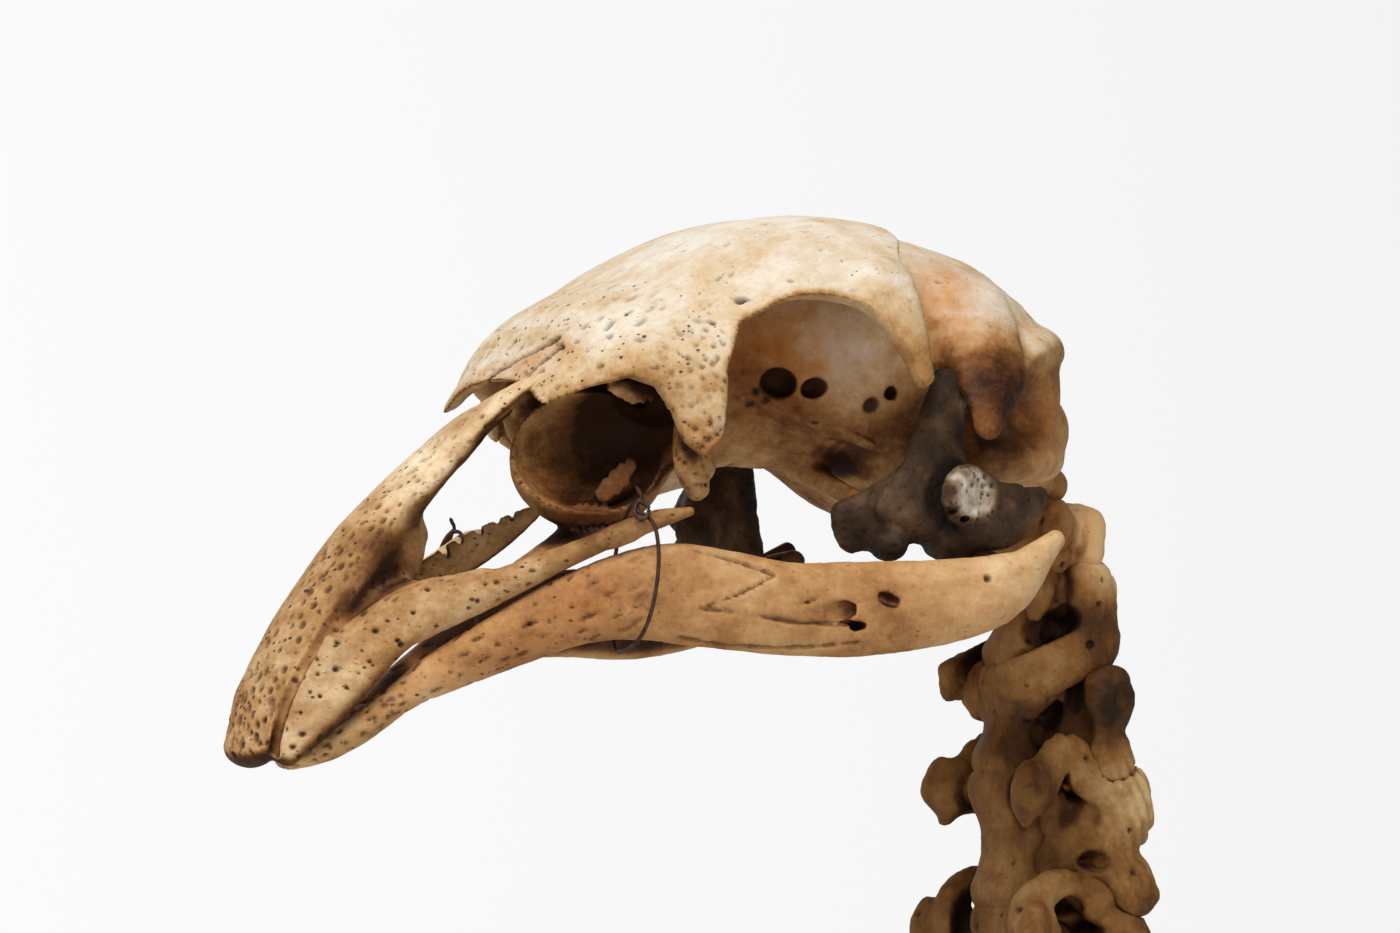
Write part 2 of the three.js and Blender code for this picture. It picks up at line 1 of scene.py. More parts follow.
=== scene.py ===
"""A giant moa's skull, lower jaw and upper neck on a plain museum stand.

Each bone is a smooth solid, written as bars, lumps and hollows that melt into each other, and
meshed finely. Lengths are millimetres in the skull's own axes: the origin is at the occipital
condyle, the beak points to -X, the animal's left side is -Y and up is +Z. A bar's rows are
x, y, z, half width and half height; a lump is a centre, its three radii and its turn in degrees.
"""

import math
from concurrent.futures import ThreadPoolExecutor

import bpy
import numpy as np
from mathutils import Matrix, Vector


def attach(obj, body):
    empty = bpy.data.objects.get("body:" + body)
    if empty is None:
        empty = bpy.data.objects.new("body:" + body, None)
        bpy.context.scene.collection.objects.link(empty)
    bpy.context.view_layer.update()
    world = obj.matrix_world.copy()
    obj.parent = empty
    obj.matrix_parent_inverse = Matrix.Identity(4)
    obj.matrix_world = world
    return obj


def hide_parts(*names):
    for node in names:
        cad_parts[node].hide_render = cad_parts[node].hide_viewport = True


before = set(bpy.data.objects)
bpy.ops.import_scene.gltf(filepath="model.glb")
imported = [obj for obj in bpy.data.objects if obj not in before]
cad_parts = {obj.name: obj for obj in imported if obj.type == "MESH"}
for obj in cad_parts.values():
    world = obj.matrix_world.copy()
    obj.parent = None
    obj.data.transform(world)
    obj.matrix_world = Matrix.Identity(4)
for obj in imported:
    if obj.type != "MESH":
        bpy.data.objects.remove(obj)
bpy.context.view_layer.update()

SKULL_ORIGIN = np.array([62.0, 0.0, 212.0])  # the skull's origin in the part's frame
MM = 0.001
ACROSS, ALONG, UPRIGHT = (0, 1, 0), (1, 0, 0), (0, 0, 1)
FAR = 60.0  # a distance that is surely outside
COARSER = 1.0
WORKERS = 4
TILE = 16.0  # points are worked out in tiles of this many millimetres
LARGE, SMALL = 16, 4  # grid cells along a block, first and then where the surface may be
NEARBY = 1.05  # a block this many times its own length from the surface is left out

# ---- solids as distance fields ----


def smooth_min(a, b, k):
    """The lower of a and b, rounded over k where they meet."""
    h = np.clip(0.5 + 0.5 * (b - a) / k, 0, 1)
    return b + (a - b) * h - k * h * (1 - h)


def smooth_max(a, b, k):
    """The higher of a and b, rounded over k where they meet."""
    return -smooth_min(-a, -b, k)


def ramp(low, high, value):
    """0 below low, 1 above high, smooth between; low may lie above high."""
    t = np.clip((value - low) / (high - low), 0, 1)
    return t * t * (3 - 2 * t)


def smoothed(rows, step):
    """A Catmull-Rom curve through rows of x, y, z and sizes, about a step between its points."""
    rows = np.asarray(rows, float)
    padded = np.vstack([2 * rows[0] - rows[1], rows, 2 * rows[-1] - rows[-2]])
    out = []
    for i in range(len(rows) - 1):
        a, b, c, d = padded[i : i + 4]
        count = max(1, round(np.linalg.norm((c - b)[:3]) / step))
        t = (np.arange(count) / count)[:, None]
        curve = 2 * b + (c - a) * t + (2 * a - 5 * b + 4 * c - d) * t**2 + (3 * b - a - 3 * c + d) * t**3
        curve *= 0.5
        curve[:, 3:] = np.maximum(curve[:, 3:], 0.9 * np.minimum(b, c)[3:])
        out.append(curve)
    return np.vstack([*out, rows[-1:]])


def superellipsoid(local, radii, power=2.0):
    """Roughly the distance to |u/a|^p + |v/b|^p + |w/c|^p = 1."""
    ratio = np.abs(local) / radii
    raised = ratio**power if power != 2 else ratio * ratio
    total = raised.sum(1) + 1e-9
    level = total ** (1 / power)
    slope = np.sqrt((((raised / (ratio + 1e-9)) / radii) ** 2).sum(1)) + 1e-9
    return (level - 1) * level ** (power - 1) / slope


def rotation(degrees):
    """About X, then Y, then Z."""
    (cx, cy, cz), (sx, sy, sz) = np.cos(np.radians(degrees)), np.sin(np.radians(degrees))
    about_x = np.array([[1, 0, 0], [0, cx, -sx], [0, sx, cx]])
    about_y = np.array([[cy, 0, sy], [0, 1, 0], [-sy, 0, cy]])
    about_z = np.array([[cz, -sz, 0], [sz, cz, 0], [0, 0, 1]])
    return about_z @ about_y @ about_x


class Bar:
    """An elliptic bar along a smooth spine; `side` is the direction of the rows' half widths."""

    def __init__(self, rows, side=ACROSS, power=2.0, step=3.0):
        line = smoothed(rows, step)
        centre = line[:, :3]
        tangent = np.gradient(centre, axis=0)
        tangent /= np.linalg.norm(tangent, axis=1)[:, None]
        across = np.asarray(side, float) - (tangent @ np.asarray(side, float))[:, None] * tangent
        across /= np.linalg.norm(across, axis=1)[:, None]
        self.centre, self.size = centre.astype(np.float32), line[:, 3:5].astype(np.float32)
        self.power = power
        self.axes = np.stack([across, np.cross(tangent, across), tangent], 1).astype(np.float32)
        self.low = (centre - self.size.max(1)[:, None]).min(0)
        self.high = (centre + self.size.max(1)[:, None]).max(0)

    def distance(self, points):
        """Distances to the bar, by the nearest stretch of its spine."""
        start, step = self.centre[:-1], np.diff(self.centre, axis=0)
        length2 = (step**2).sum(1)
        middle = (points.min(0) + points.max(0)) / 2
        reach = np.linalg.norm(points.max(0) - points.min(0))
        share = np.clip(((middle - start) * step).sum(1) / length2, 0, 1)
        away = np.linalg.norm(start + share[:, None] * step - middle, axis=1)
        chosen = np.flatnonzero(away <= away.min() + reach)
        best = np.full(len(points), np.inf, np.float32)
        index = np.zeros(len(points), np.int32)
        share = np.zeros(len(points), np.float32)
        for i in chosen:
            offset = points - start[i]
            along = np.clip(offset @ (step[i] / length2[i]), 0, 1)
            offset -= along[:, None] * step[i]
            squared = np.einsum("ij,ij->i", offset, offset)
            nearer = squared < best
            best[nearer], index[nearer], share[nearer] = squared[nearer], i, along[nearer]
        out = np.empty(len(points), np.float32)
        for i in chosen:
            mine = np.flatnonzero(index == i)
            if len(mine):
                t = share[mine][:, None]
                offset = points[mine] - (start[i] + t * step[i])
                local = offset @ self.axes[i].T + t * (offset @ (self.axes[i + 1] - self.axes[i]).T)
                size = self.size[i] + t * (self.size[i + 1] - self.size[i])
                radii = np.column_stack([size, size.min(1)])
                out[mine] = superellipsoid(local, radii, self.power)
        return out


class Lump:
    """An ellipsoid."""

    def __init__(self, at, radii, turned=(0, 0, 0)):
        self.at, self.radii, self.turn = (np.array(v, np.float32) for v in (at, radii, rotation(turned)))
        reach = np.abs(self.turn) @ self.radii
        self.low, self.high = self.at - reach, self.at + reach

    def distance(self, points):
        return superellipsoid((points - self.at) @ self.turn, self.radii)


class SideShape:
    """A side outline in X and Z, endless across."""

    def __init__(self, outline):
        self.outline = np.asarray(outline, float)
        self.low, self.high = np.full(3, -1e3), np.full(3, 1e3)

    def distance(self, points):
        x, z = points[:, 0], points[:, 2]
        best, inside = np.full(len(points), np.inf), np.zeros(len(points), bool)
        for (ax, az), (bx, bz) in zip(self.outline, np.roll(self.outline, -1, axis=0)):
            ex, ez = bx - ax, bz - az
            t = np.clip(((x - ax) * ex + (z - az) * ez) / (ex * ex + ez * ez + 1e-12), 0, 1)
            best = np.minimum(best, (x - ax - t * ex) ** 2 + (z - az - t * ez) ** 2)
            inside ^= ((az > z) != (bz > z)) & (x < ex * (z - az) / (ez + 1e-12) + ax)
        return np.where(inside, -1, 1) * np.sqrt(best)


class Solid:
    """Shapes added and cut in order, each melting into the rest over its own blend."""

    def __init__(self):
        """steps holds sign, shape, blend, both sides or not, and the shape's box."""
        self.steps = []
        self.low, self.high = np.full(3, 1e3), np.full(3, -1e3)

    def step(self, sign, shape, blend, both):
        """Append one shape; both repeats it on the right side."""
        low, high = shape.low.copy(), shape.high.copy()
        if both:
            widest = max(abs(low[1]), abs(high[1]))
            high[1] = min(0, high[1]) if high[1] < 0 else high[1]
            self.steps.append((sign, shape, blend, True, low, high))
            low[1], high[1] = -widest, widest
        else:
            self.steps.append((sign, shape, blend, False, low, high))
        if sign == "add":
            self.low, self.high = np.minimum(self.low, low), np.maximum(self.high, high)
        return self

    def add(self, shape, blend=2.0, both=False):
        return self.step("add", shape, blend, both)

    def cut(self, shape, blend=1.0, both=False):
        return self.step("cut", shape, blend, both)

    def keep(self, shape, blend=1.0):
        return self.step("keep", shape, blend, False)

    def distance(self, points, reach=3.0):
        """Distances, right as far as reach from the surface."""
        d = np.full(len(points), FAR, np.float32)
        folded = points.copy()
        folded[:, 1] = -np.abs(points[:, 1])
        for sign, shape, blend, both, low, high in self.steps:
            where = folded if both else points
            margin = reach + blend
            near = np.all((where > low - margin) & (where < high + margin), axis=1)
            if sign == "keep":
                d = smooth_max(d, shape.distance(where), blend)
            elif near.any():
                v = shape.distance(where[near])
                if sign == "add":
                    d[near] = smooth_min(d[near], v, blend)
                else:
                    d[near] = smooth_max(d[near], -v, blend)
        return d


def sample(solid, points, reach=3.0):
    """Distances at points in any order, worked out tile by tile."""
    points = points.astype(np.float32)
    key = np.floor((points - points.min(0)) / TILE).astype(int)
    span = key.max(0) + 1
    tile = (key[:, 0] * span[1] + key[:, 1]) * span[2] + key[:, 2]
    order = np.argsort(tile, kind="stable")
    parts = np.split(order, np.flatnonzero(np.diff(tile[order])) + 1)
    out = np.empty(len(points), np.float32)
    with ThreadPoolExecutor(WORKERS) as pool:
        for part, values in zip(parts, pool.map(lambda part: solid.distance(points[part], reach), parts)):
            out[part] = values
    return out


def lattice_of(steps):
    """The points of a cubic lattice, as rows."""
    return np.stack(np.meshgrid(*steps, indexing="ij"), -1).reshape(-1, 3)


def surface(solid, cell):
    """A quad mesh of the solid: surface nets on a grid that is filled only near the surface."""
    low, high = solid.low - 3, solid.high + 3
    blocks = np.ceil((high - low) / (cell * LARGE)).astype(int)
    grid = np.full(blocks * LARGE, FAR, np.float32)
    corner = LARGE * lattice_of([np.arange(n) for n in blocks])
    for block, smaller in ((LARGE, SMALL), (SMALL, 1)):
        reach = block * cell * NEARBY
        at_centre = sample(solid, low + (corner + (block - 1) / 2) * cell, reach)
        active = np.abs(at_centre) < reach
        for x, y, z in corner[~active & (at_centre < 0)]:
            grid[x : x + block, y : y + block, z : z + block] = -FAR
        within = lattice_of([np.arange(0, block, smaller)] * 3)
        corner = (corner[active][:, None] + within).reshape(-1, 3)
    grid[tuple(corner.T)] = sample(solid, low + corner * cell)
    return nets(grid, low, cell)


def nets(grid, low, cell):
    """Surface nets: one point in each cell that the surface crosses, and a quad round each crossed edge."""
    inside = grid < 0
    corners = [(i, j, k) for i in (0, 1) for j in (0, 1) for k in (0, 1)]
    span = np.array(grid.shape) - 1
    count = sum(
        inside[i : i + span[0], j : j + span[1], k : k + span[2]].astype(np.int8) for i, j, k in corners
    )
    cells = np.argwhere((count > 0) & (count < 8))
    number = np.full(span, -1, np.int32)
    number[tuple(cells.T)] = np.arange(len(cells))
    value = {c: grid[tuple((cells + c).T)] for c in corners}
    total, crossings = np.zeros((len(cells), 3)), np.zeros(len(cells))
    for a in corners:
        for axis in range(3):
            if a[axis]:
                continue
            b = tuple(1 if i == axis else a[i] for i in range(3))
            crossed = (value[a] < 0) != (value[b] < 0)
            point = np.tile(np.array(a, float), (len(cells), 1))
            point[:, axis] += value[a] / np.where(crossed, value[a] - value[b], 1)
            total[crossed] += point[crossed]
            crossings += crossed
    points = low + (cells + total / crossings[:, None]) * cell
    quads = []
    for axis in range(3):
        u, v = (axis + 1) % 3, (axis + 2) % 3
        here, there = [slice(1, -1)] * 3, [slice(1, -1)] * 3
        here[axis], there[axis] = slice(0, -1), slice(1, None)
        a, b = inside[tuple(here)], inside[tuple(there)]
        offset = np.array([1, 1, 1])
        offset[axis] = 0
        for outward, crossed in ((True, a & ~b), (False, ~a & b)):
            edge = np.argwhere(crossed) + offset
            ring = []
            for du, dv in ((0, 0), (-1, 0), (-1, -1), (0, -1)):
                corner = edge.copy()
                corner[:, u] += du
                corner[:, v] += dv
                ring.append(number[tuple(corner.T)])
            ring = np.stack(ring, 1)
            quads.append(ring if outward else ring[:, ::-1])
    return points, np.vstack(quads)


def normals_of(points, quads):
    """A unit normal at each point, the sum of its quads' normals."""
    a, b, c, d = (points[quads[:, i]] for i in range(4))
    face = np.cross(c - a, d - b)
    out = np.zeros_like(points)
    for i in range(4):
        for axis in range(3):
            out[:, axis] += np.bincount(quads[:, i], face[:, axis], len(points))
    return out / (np.linalg.norm(out, axis=1)[:, None] + 1e-12)


# ---- noise for the surface ----


def hashed(lattice, seed):
    """A repeatable number from 0 to 1 for each lattice point."""
    n = (lattice * [73856093, 19349663, 83492791]).astype(np.int64)
    n = n[..., 0] ^ n[..., 1] ^ n[..., 2] ^ (seed * 2654435761)
    n = ((n ^ (n >> 13)) * 1274126177) & 0xFFFFFFFF
    return ((n ^ (n >> 16)) & 0xFFFF) / 65535.0


def waves(points, size, seed, octaves=3):
    """Smooth value noise from -1 to 1."""
    total, weight = 0.0, 0.0
    for octave in range(octaves):
        scaled = points * (2**octave / size)
        base = np.floor(scaled).astype(np.int64)
        t = scaled - base
        t = t * t * (3 - 2 * t)
        value = 0.0
        for corner in np.ndindex(2, 2, 2):
            share = np.prod(np.where(corner, t, 1 - t), axis=1)
            value = value + share * hashed(base + corner, seed + octave)
        total = total + (2 * value - 1) * 0.5**octave
        weight += 0.5**octave
    return total / weight


def spots(points, normals, size, seed):
    """Distance to the nearest of points scattered over the surface, in cell sizes, and its own number.

    They are scattered on the plane that the surface faces most, each plane with its own set.
    """
    flat = np.abs(normals).argmax(1)
    rows = np.arange(len(points))
    scaled = points / size
    scaled[rows, flat] = 7 * flat + 0.5
    base = np.floor(scaled).astype(np.int64)
    best, own = np.full(len(points), 9.0), np.zeros(len(points))
    for offset in np.ndindex(3, 3, 3):
        lattice = base + (np.array(offset) - 1)
        spot = np.stack([hashed(lattice, seed + i) for i in range(3)], 1) + lattice
        spot[rows, flat] = 7 * flat + 0.5
        d = np.linalg.norm(scaled - spot, axis=1)
        nearer = (d < best) & (np.array(offset)[flat] == 1)
        best[nearer] = d[nearer]
        own[nearer] = hashed(lattice[nearer], seed + 3)
    return best, own


# ---- the cranium ----

ROOF = [
    [-150, 0, -1, 16.5, 8.5], [-146, 0, -0.2, 21, 13.7], [-141, 0, -0.2, 26, 20.3],
    [-134, 0, -0.2, 31.8, 27.4], [-124, 0, 0.9, 38, 32.3], [-110, 0, 3.4, 44.5, 35.6],
    [-94, 0, 7.3, 50.5, 39.7], [-76, 0, 12, 54, 41.3], [-62, 0, 13, 53, 39.5], [-50, 0, 11, 47, 37],
    [-38, 0, 8, 38, 33.5],
]
ROOF_POWER = 2.5
ROOF_SIDE, ROOF_TOP = 4.5, 7.0
NASAL_SIDE, NASAL_TOP = 3.4, 3.6  # thinner towards the front
ROOF_INSIDE = (-145, -64)
ROOF_CLEAR = 70
NASAL_EDGE = [[-149.5, 2.5], [-146, 6.5], [-141.5, 11], [-135.5, 14], [-129, 16.2]]
TEAR_PROCESS = [
    [-124.5, 14.2], [-122.5, 9], [-120.5, 3], [-116.5, -0.4], [-113.9, 3.2],
    [-112.7, 17],
]
ORBIT_RIM = [[-108.1, 27.3], [-96.5, 32], [-84.3, 28.5], [-77.5, 19.5], [-73.2, 13.2]]
BACK_RIM = [[-69, 16.5], [-69.8, 26], [-70.6, 35], [-69, 42], [-64, 47], [-58, 56]]
ORBIT_PROCESS = [
    [-78, -45, 37.5, 6, 3], [-76, -47.5, 34.5, 6, 2.6], [-73, -50.5, 25, 3.9, 2.3],
    [-70.4, -52, 17, 1.6, 1.4],
]
BRAINCASE = [
    [-90, 0, 26, 11, 18], [-77, 0, 27, 25, 23], [-64, 0, 26, 33.5, 26], [-52, 0, 23, 36, 28],
    [-40, 0, 18.5, 35.5, 29.3], [-30, 0, 15.5, 33, 26.6], [-21, 0, 12, 28.5, 22.3],
    [-16, 0, 10, 23.5, 17], [-12.5, 0, 9, 17.5, 12],
]
MIDDLE_WALL = [
    [-80, 0, 22, 12, 22], [-96, 0, 20, 11, 20], [-108, 0, 17, 10, 20], [-120, 0, 14, 9, 19],
    [-128, 0, 9, 7, 15], [-133, 0, 5, 4.4, 10],
]
SKULL_FLOOR = [
    [-8, 0, -1, 9, 6], [-30, 0, -3, 20, 6], [-50, 0, -3, 19, 6.5], [-66, 0, 3.6, 13, 4.5],
    [-80, 0, 5.6, 7, 4], [-95, 0, 5, 5.5, 5],
]
PALATINE_BAR = [
    [-96, -5, 0, 4, 4], [-110, -6, -4, 5, 3.5], [-120, -7, -10, 5, 2.8], [-130, -8, -16, 4.5, 2.2],
    [-141, -9, -22, 3.5, 1.5],
]
PALATINE_STUMP = [[-96, 5, 0, 4, 4], [-108, 6, -3.5, 4.5, 3.5], [-114, 6, -6.5, 3, 2]]
NOSE_WALL = [
    [-111, -6, 8, 12, 3], [-112, -20, 9, 11, 2.5], [-113, -31, 10, 9, 2.5],
    [-115, -40, 12, 7, 3],
]
NOSE_FLANGE = [
    [-116, -35, 14, 3, 2.6], [-116, -33.5, 6, 3.8, 2.6], [-114.5, -31.5, -1, 4.2, 2.6],
    [-112, -30, -6.5, 2.6, 2.2],
]
CHEEK_PROCESS = [
    [-43, -29, 36, 9, 4], [-45, -35, 28, 10, 4.5], [-47, -40, 19, 8, 4.5],
    [-50.5, -45, 11.5, 5.5, 4], [-53, -49, 7, 3, 2.4],
]
NUCHAL_CREST = [
    [-44, -40, 14, 3, 3], [-35, -36.5, 19, 3, 3], [-27, -31, 24, 3, 3], [-18, -23, 26.5, 3, 3],
    [-10, -13, 25.5, 3, 3], [-8, 0, 26, 3, 3],
]
REAR_SHELF = [
    [-46, -31, 1, 4, 4], [-35, -28.5, 1.5, 6, 5], [-22, -22, 2.5, 7, 5.5],
    [-13, -12.5, 3, 6, 5.5],
]
BASE_WING = [
    [-70, -5, 0, 3, 3], [-69.3, -12, -2.6, 2.6, 2.6], [-69, -19, -5.4, 2.3, 2.4],
    [-68.5, -24, -6.8, 1.8, 2],
]
CULMEN = [
    [-142.5, 0, 10.6, 6.5, 2.2], [-149.2, 0, 6, 8, 2.8], [-162.6, 0, -6.2, 9, 4.2],
    [-178, 0, -23.2, 9.6, 5.4], [-189.5, 0, -41.3, 10.5, 6.1], [-195.8, 0, -54, 9.8, 6],
    [-199, 0, -58.5, 8, 4.2],
]
ORBIT_HOLES = [
    ((-82.6, -15.5, 17), (3.3, 4, 3.1)), ((-77.2, -21, 16), (2, 4, 2)),
    ((-86.9, -12.5, 12.6), (0.8, 3, 0.7)), ((-84.6, -13.5, 13.4), (0.7, 3, 0.7)),
    ((-86.2, -12, 15.5), (0.6, 3, 0.6)), ((-67.4, -28.6, 12), (1.5, 3, 2)),
    ((-63.8, -30, 15), (1.4, 3, 1.4)), ((-70.3, -21, 3.9), (1.3, 3, 1)),
    ((-85.5, -3.5, -0.4), (1.2, 3, 1)), ((-76.5, -22, 8.6), (1, 3, 0.8)),
]
ORBIT_RIDGE = [
    [-85, -11.5, 14, 1.5, 1], [-79.7, -15.4, 11.5, 2.2, 1.2], [-72, -20, 7.5, 2.2, 1.2],
    [-65, -24, 4, 1.5, 1],
]
HANGING_FLAKES = [
    [
        [-131, -26.5, 15, 1.6, 0.6], [-127, -27.5, 13.6, 2.8, 0.6], [-122.5, -28, 13.4, 2.6, 0.5],
        [-119, -28, 15, 1.4, 0.4],
    ],
    [[-128, -17.5, -8, 1.8, 0.6], [-124, -19, -4, 2.8, 0.6], [-121.4, -20, 0, 1.4, 0.4]],
    [[-134.6, -14.5, -11, 1.2, 0.5], [-130, -16.5, -10.6, 1.8, 0.5], [-126, -18, -10.4, 1, 0.4]],
]
SPLINTERS = 46
SPLINTER_DRAWS = [((7, 3), 11), ((2, 5), 12), ((9, 1), 13)]
SPLINTER_ARC_STEP = 0.5
SPLINTER_ARC = [
    [-142.6, -8.6, 3], [-143, -9, -2], [-140.5, -11.5, -7.5], [-134, -14, -11.6],
    [-126, -16.5, -13.4], [-118, -18, -12],
]


def make_splinters():
    """Ragged slivers of thin bone left standing along the broken rim of the nose bowl."""
    rim = smoothed(SPLINTER_ARC, SPLINTER_ARC_STEP)
    slivers = Solid()
    for i in range(SPLINTERS):
        pick = [hashed(np.array([i, *draw]), seed) for draw, seed in SPLINTER_DRAWS]
        along = 0.25 + 0.75 * ((i + 3 * pick[0]) / (SPLINTERS + 3)) ** 0.8  # most of them at the bottom
        at = rim[int(along * (len(rim) - 1))]
        reach = 0.8 + 4.6 * pick[1] ** 3
        lean = np.array([2.2 * pick[0] - 1.2, 1.2 * pick[2] - 1.0, 0.5 - 1.5 * pick[1]])
        tip = at + lean * reach * 0.7
        root_row, tip_row = [*at, 2.2 * pick[2] ** 2 + 0.3, 0.35], [*tip, 0.5 * pick[0] + 0.2, 0.22]
        slivers.add(Bar([root_row, tip_row]), 0.3)
    return slivers


def grown(rows, margin):
    """The same bar, thicker all round."""
    return [[x, y, z, a + margin, b + margin] for x, y, z, a, b in rows]


def inside_roof(row):
    """The hollow under the roof, whose shell thins towards the nose."""
    x, y, z, a, b = row
    rear = ramp(-146, -120, x)
    side = NASAL_SIDE + (ROOF_SIDE - NASAL_SIDE) * rear
    top = NASAL_TOP + (ROOF_TOP - NASAL_TOP) * rear
    return [x, y, z, a - side, b - top]


def make_nose():
    """The middle wall with the bowl of the nasal chamber on each side, broken open outwards."""
    nose = Solid()
    nose.add(Bar(MIDDLE_WALL), 0.1)
    nose.add(Bar(NOSE_WALL, UPRIGHT), 3.0, both=True)
    nose.add(Lump((-127, -12, 0), (17.6, 12, 14.5)), 3.0)
    nose.add(Lump((-118, 9, 2), (13, 11, 14)), 3.0)
    nose.cut(Lump((-132, -24.5, 2), (18.5, 19.5, 13.6)), 0.8)
    nose.cut(Lump((-128, 22, 3), (15, 17, 13)), 1.0)
    nose.cut(Lump((-119, -22, 11), (6.5, 9, 5.5)), 1.0)
    return nose


def make_cranium():
    """The roof's shell, cut to its side outline, over the braincase, the nose and the skull's floor."""
    edge = NASAL_EDGE + TEAR_PROCESS + ORBIT_RIM + BACK_RIM
    (front, low), rear = edge[0], edge[-1][0]
    closed = edge + [[rear + 6, ROOF_CLEAR], [front - 12, ROOF_CLEAR], [front - 12, low]]
    first, last = ROOF_INSIDE
    inner = [inside_roof(row) for row in ROOF if first < row[0] < last]
    bone = Solid()
    bone.add(Bar(ROOF, power=ROOF_POWER, step=1.2), 0.1)
    bone.cut(Bar(inner, power=ROOF_POWER), 2.0)
    bone.keep(SideShape(closed), 2.0)
    bone.add(Bar(BRAINCASE), 3.0)
    bone.add(Bar(SKULL_FLOOR), 4.0)
    bone.cut(Lump((-117, 43, -1), (9, 9, 11)), 1.0)
    bone.add(make_nose(), 3.0)
    bone.cut(Lump((-92, -46, 8), (20.5, 33.5, 25)), 2.5, both=True)
    bone.cut(Lump((-62, -48, 26), (8.5, 17, 27), (12, 0, 0)), 4.0, both=True)
    bone.add(Bar(ORBIT_PROCESS, ALONG), 3.0, both=True)
    bone.add(Bar(CHEEK_PROCESS, ALONG), 4.0, both=True)
    bone.add(Bar(NUCHAL_CREST), 5.0, both=True)
    bone.cut(Lump((-25, -39, 11), (12, 13, 11)), 4.0, both=True)
    bone.add(Bar(REAR_SHELF), 3.0, both=True)
    bone.cut(Lump((-53, -37, 5), (9, 10, 10)), 3.0, both=True)
    bone.add(Bar(BASE_WING), 3.0)
    bone.add(Lump((-20, -9, -6), (7, 5, 4)), 4.0, both=True)
    bone.add(Bar(PALATINE_BAR), 2.5)
    bone.add(Bar(PALATINE_STUMP), 2.5)
    bone.add(Bar(NOSE_FLANGE, ALONG), 2.0)
    bone.cut(Lump((-147, -12.5, 10), (5, 2, 5)), 1.0, both=True)
    for at, radii in ORBIT_HOLES:
        bone.cut(Lump(at, radii), 0.6, both=True)
    bone.add(Bar(ORBIT_RIDGE), 3.0, both=True)
    for line in HANGING_FLAKES:
        bone.add(Bar(line, UPRIGHT), 0.6)
    bone.add(Lump((-1, 0, -2), (5, 5, 4.5)), 1.5)
    bone.cut(Lump((1, 0, 9), (9, 6.5, 6)), 1.5)
    return bone


# ---- the upper bill ----

BILL_SIDE = [
    [-196, -8, -57, 3.4, 3.4], [-191, -10, -50, 3.4, 6], [-184, -11.8, -41.5, 3.4, 8],
    [-177, -13.8, -34.4, 3.4, 6.5], [-168, -16.6, -29.5, 4, 4.6], [-158, -21, -26, 3.2, 3.2],
]
BILL_EDGE = [
    [-195, -9, -60, 2.6, 2.2], [-188, -12.5, -51.8, 2.6, 3], [-176, -16.8, -38.2, 2.4, 2.6],
    [-170, -18.6, -33.8, 2.4, 3.2], [-160, -22, -28.6, 2.6, 3.4], [-152, -25.5, -24.6, 2.6, 3],
    [-140, -30.8, -18.9, 2.2, 2.2], [-132, -34.8, -15.2, 2, 2],
]
CHEEK_BAR = [
    [-134, -33.8, -16.2, 2, 2], [-126.5, -37.2, -12.8, 1.7, 1.9],
    [-120.2, -39.8, -11.2, 0.8, 0.9],
]
BILL_SEPTUM = [
    [-193, 0, -50, 9, 7], [-184, 0, -38, 8.4, 9], [-175, 0, -28, 8, 8.5], [-169, 0, -19.5, 6, 9],
    [-165.5, 0, -13.5, 4, 7.5],
]
BILL_PALATE = [
    [-190, 0, -50, 11, 2.6], [-181, 0, -40, 14, 4], [-173, 0, -31.5, 17, 5],
    [-167, 0, -27.5, 18, 3],
]
PALATE_PLATE = [
    [-169, 8, -33, 1.8, 3], [-160, 8, -27.5, 1.5, 3], [-151, 8, -22.6, 1.1, 3.8],
    [-141, 8, -17.4, 1, 3.8], [-131, 8, -11.8, 0.9, 2.2], [-126, 8, -8.9, 0.7, 0.9],
]
PLATE_NOTCHES = [
    (-150, -18, 2.2), (-146.5, -15.6, 1.6), (-142, -13, 2.4), (-137.5, -11, 1.8), (-134, -9.4, 2.2),
    (-129.8, -7.6, 1.6),
]
CULMEN_SPICULE = [
    [-152.5, -1, 4.5, 0.8, 0.6], [-151.8, -1.5, 1.5, 0.4, 0.3],
    [-151.4, -1.7, -0.6, 0.3, 0.25],
]
NEAR_PRONG = [
    [-155, -4, 2.5, 5, 3], [-150.5, -6.5, 7.5, 4.6, 2.2], [-146.5, -10, 11.8, 3.8, 1.7],
    [-143, -13.2, 14.8, 2.6, 1.2], [-140.2, -15.9, 16.6, 1, 0.8],
]
BILL_GROOVE = [
    [-176, -11, -19.5, 1.3, 1.6], [-181, -11, -25.8, 1.3, 1.6], [-188.5, -11.6, -34.8, 1.2, 1.4],
    [-192, -11.6, -39.8, 1.2, 1.4], [-195.3, -11, -45.7, 1.1, 1.3], [-197.5, -10.2, -52.2, 1, 1.2],
    [-198.2, -9, -59.5, 0.9, 1],
]
BILL_HOLLOW = [
    [-164, -18, -12.5, 9, 8], [-172, -17.4, -19, 7.6, 6], [-180, -16, -27.4, 5.4, 4],
    [-186, -14.5, -34, 3.4, 2.6],
]
FAR_DROP = 2.4  # the far cheek bar has sagged by this much


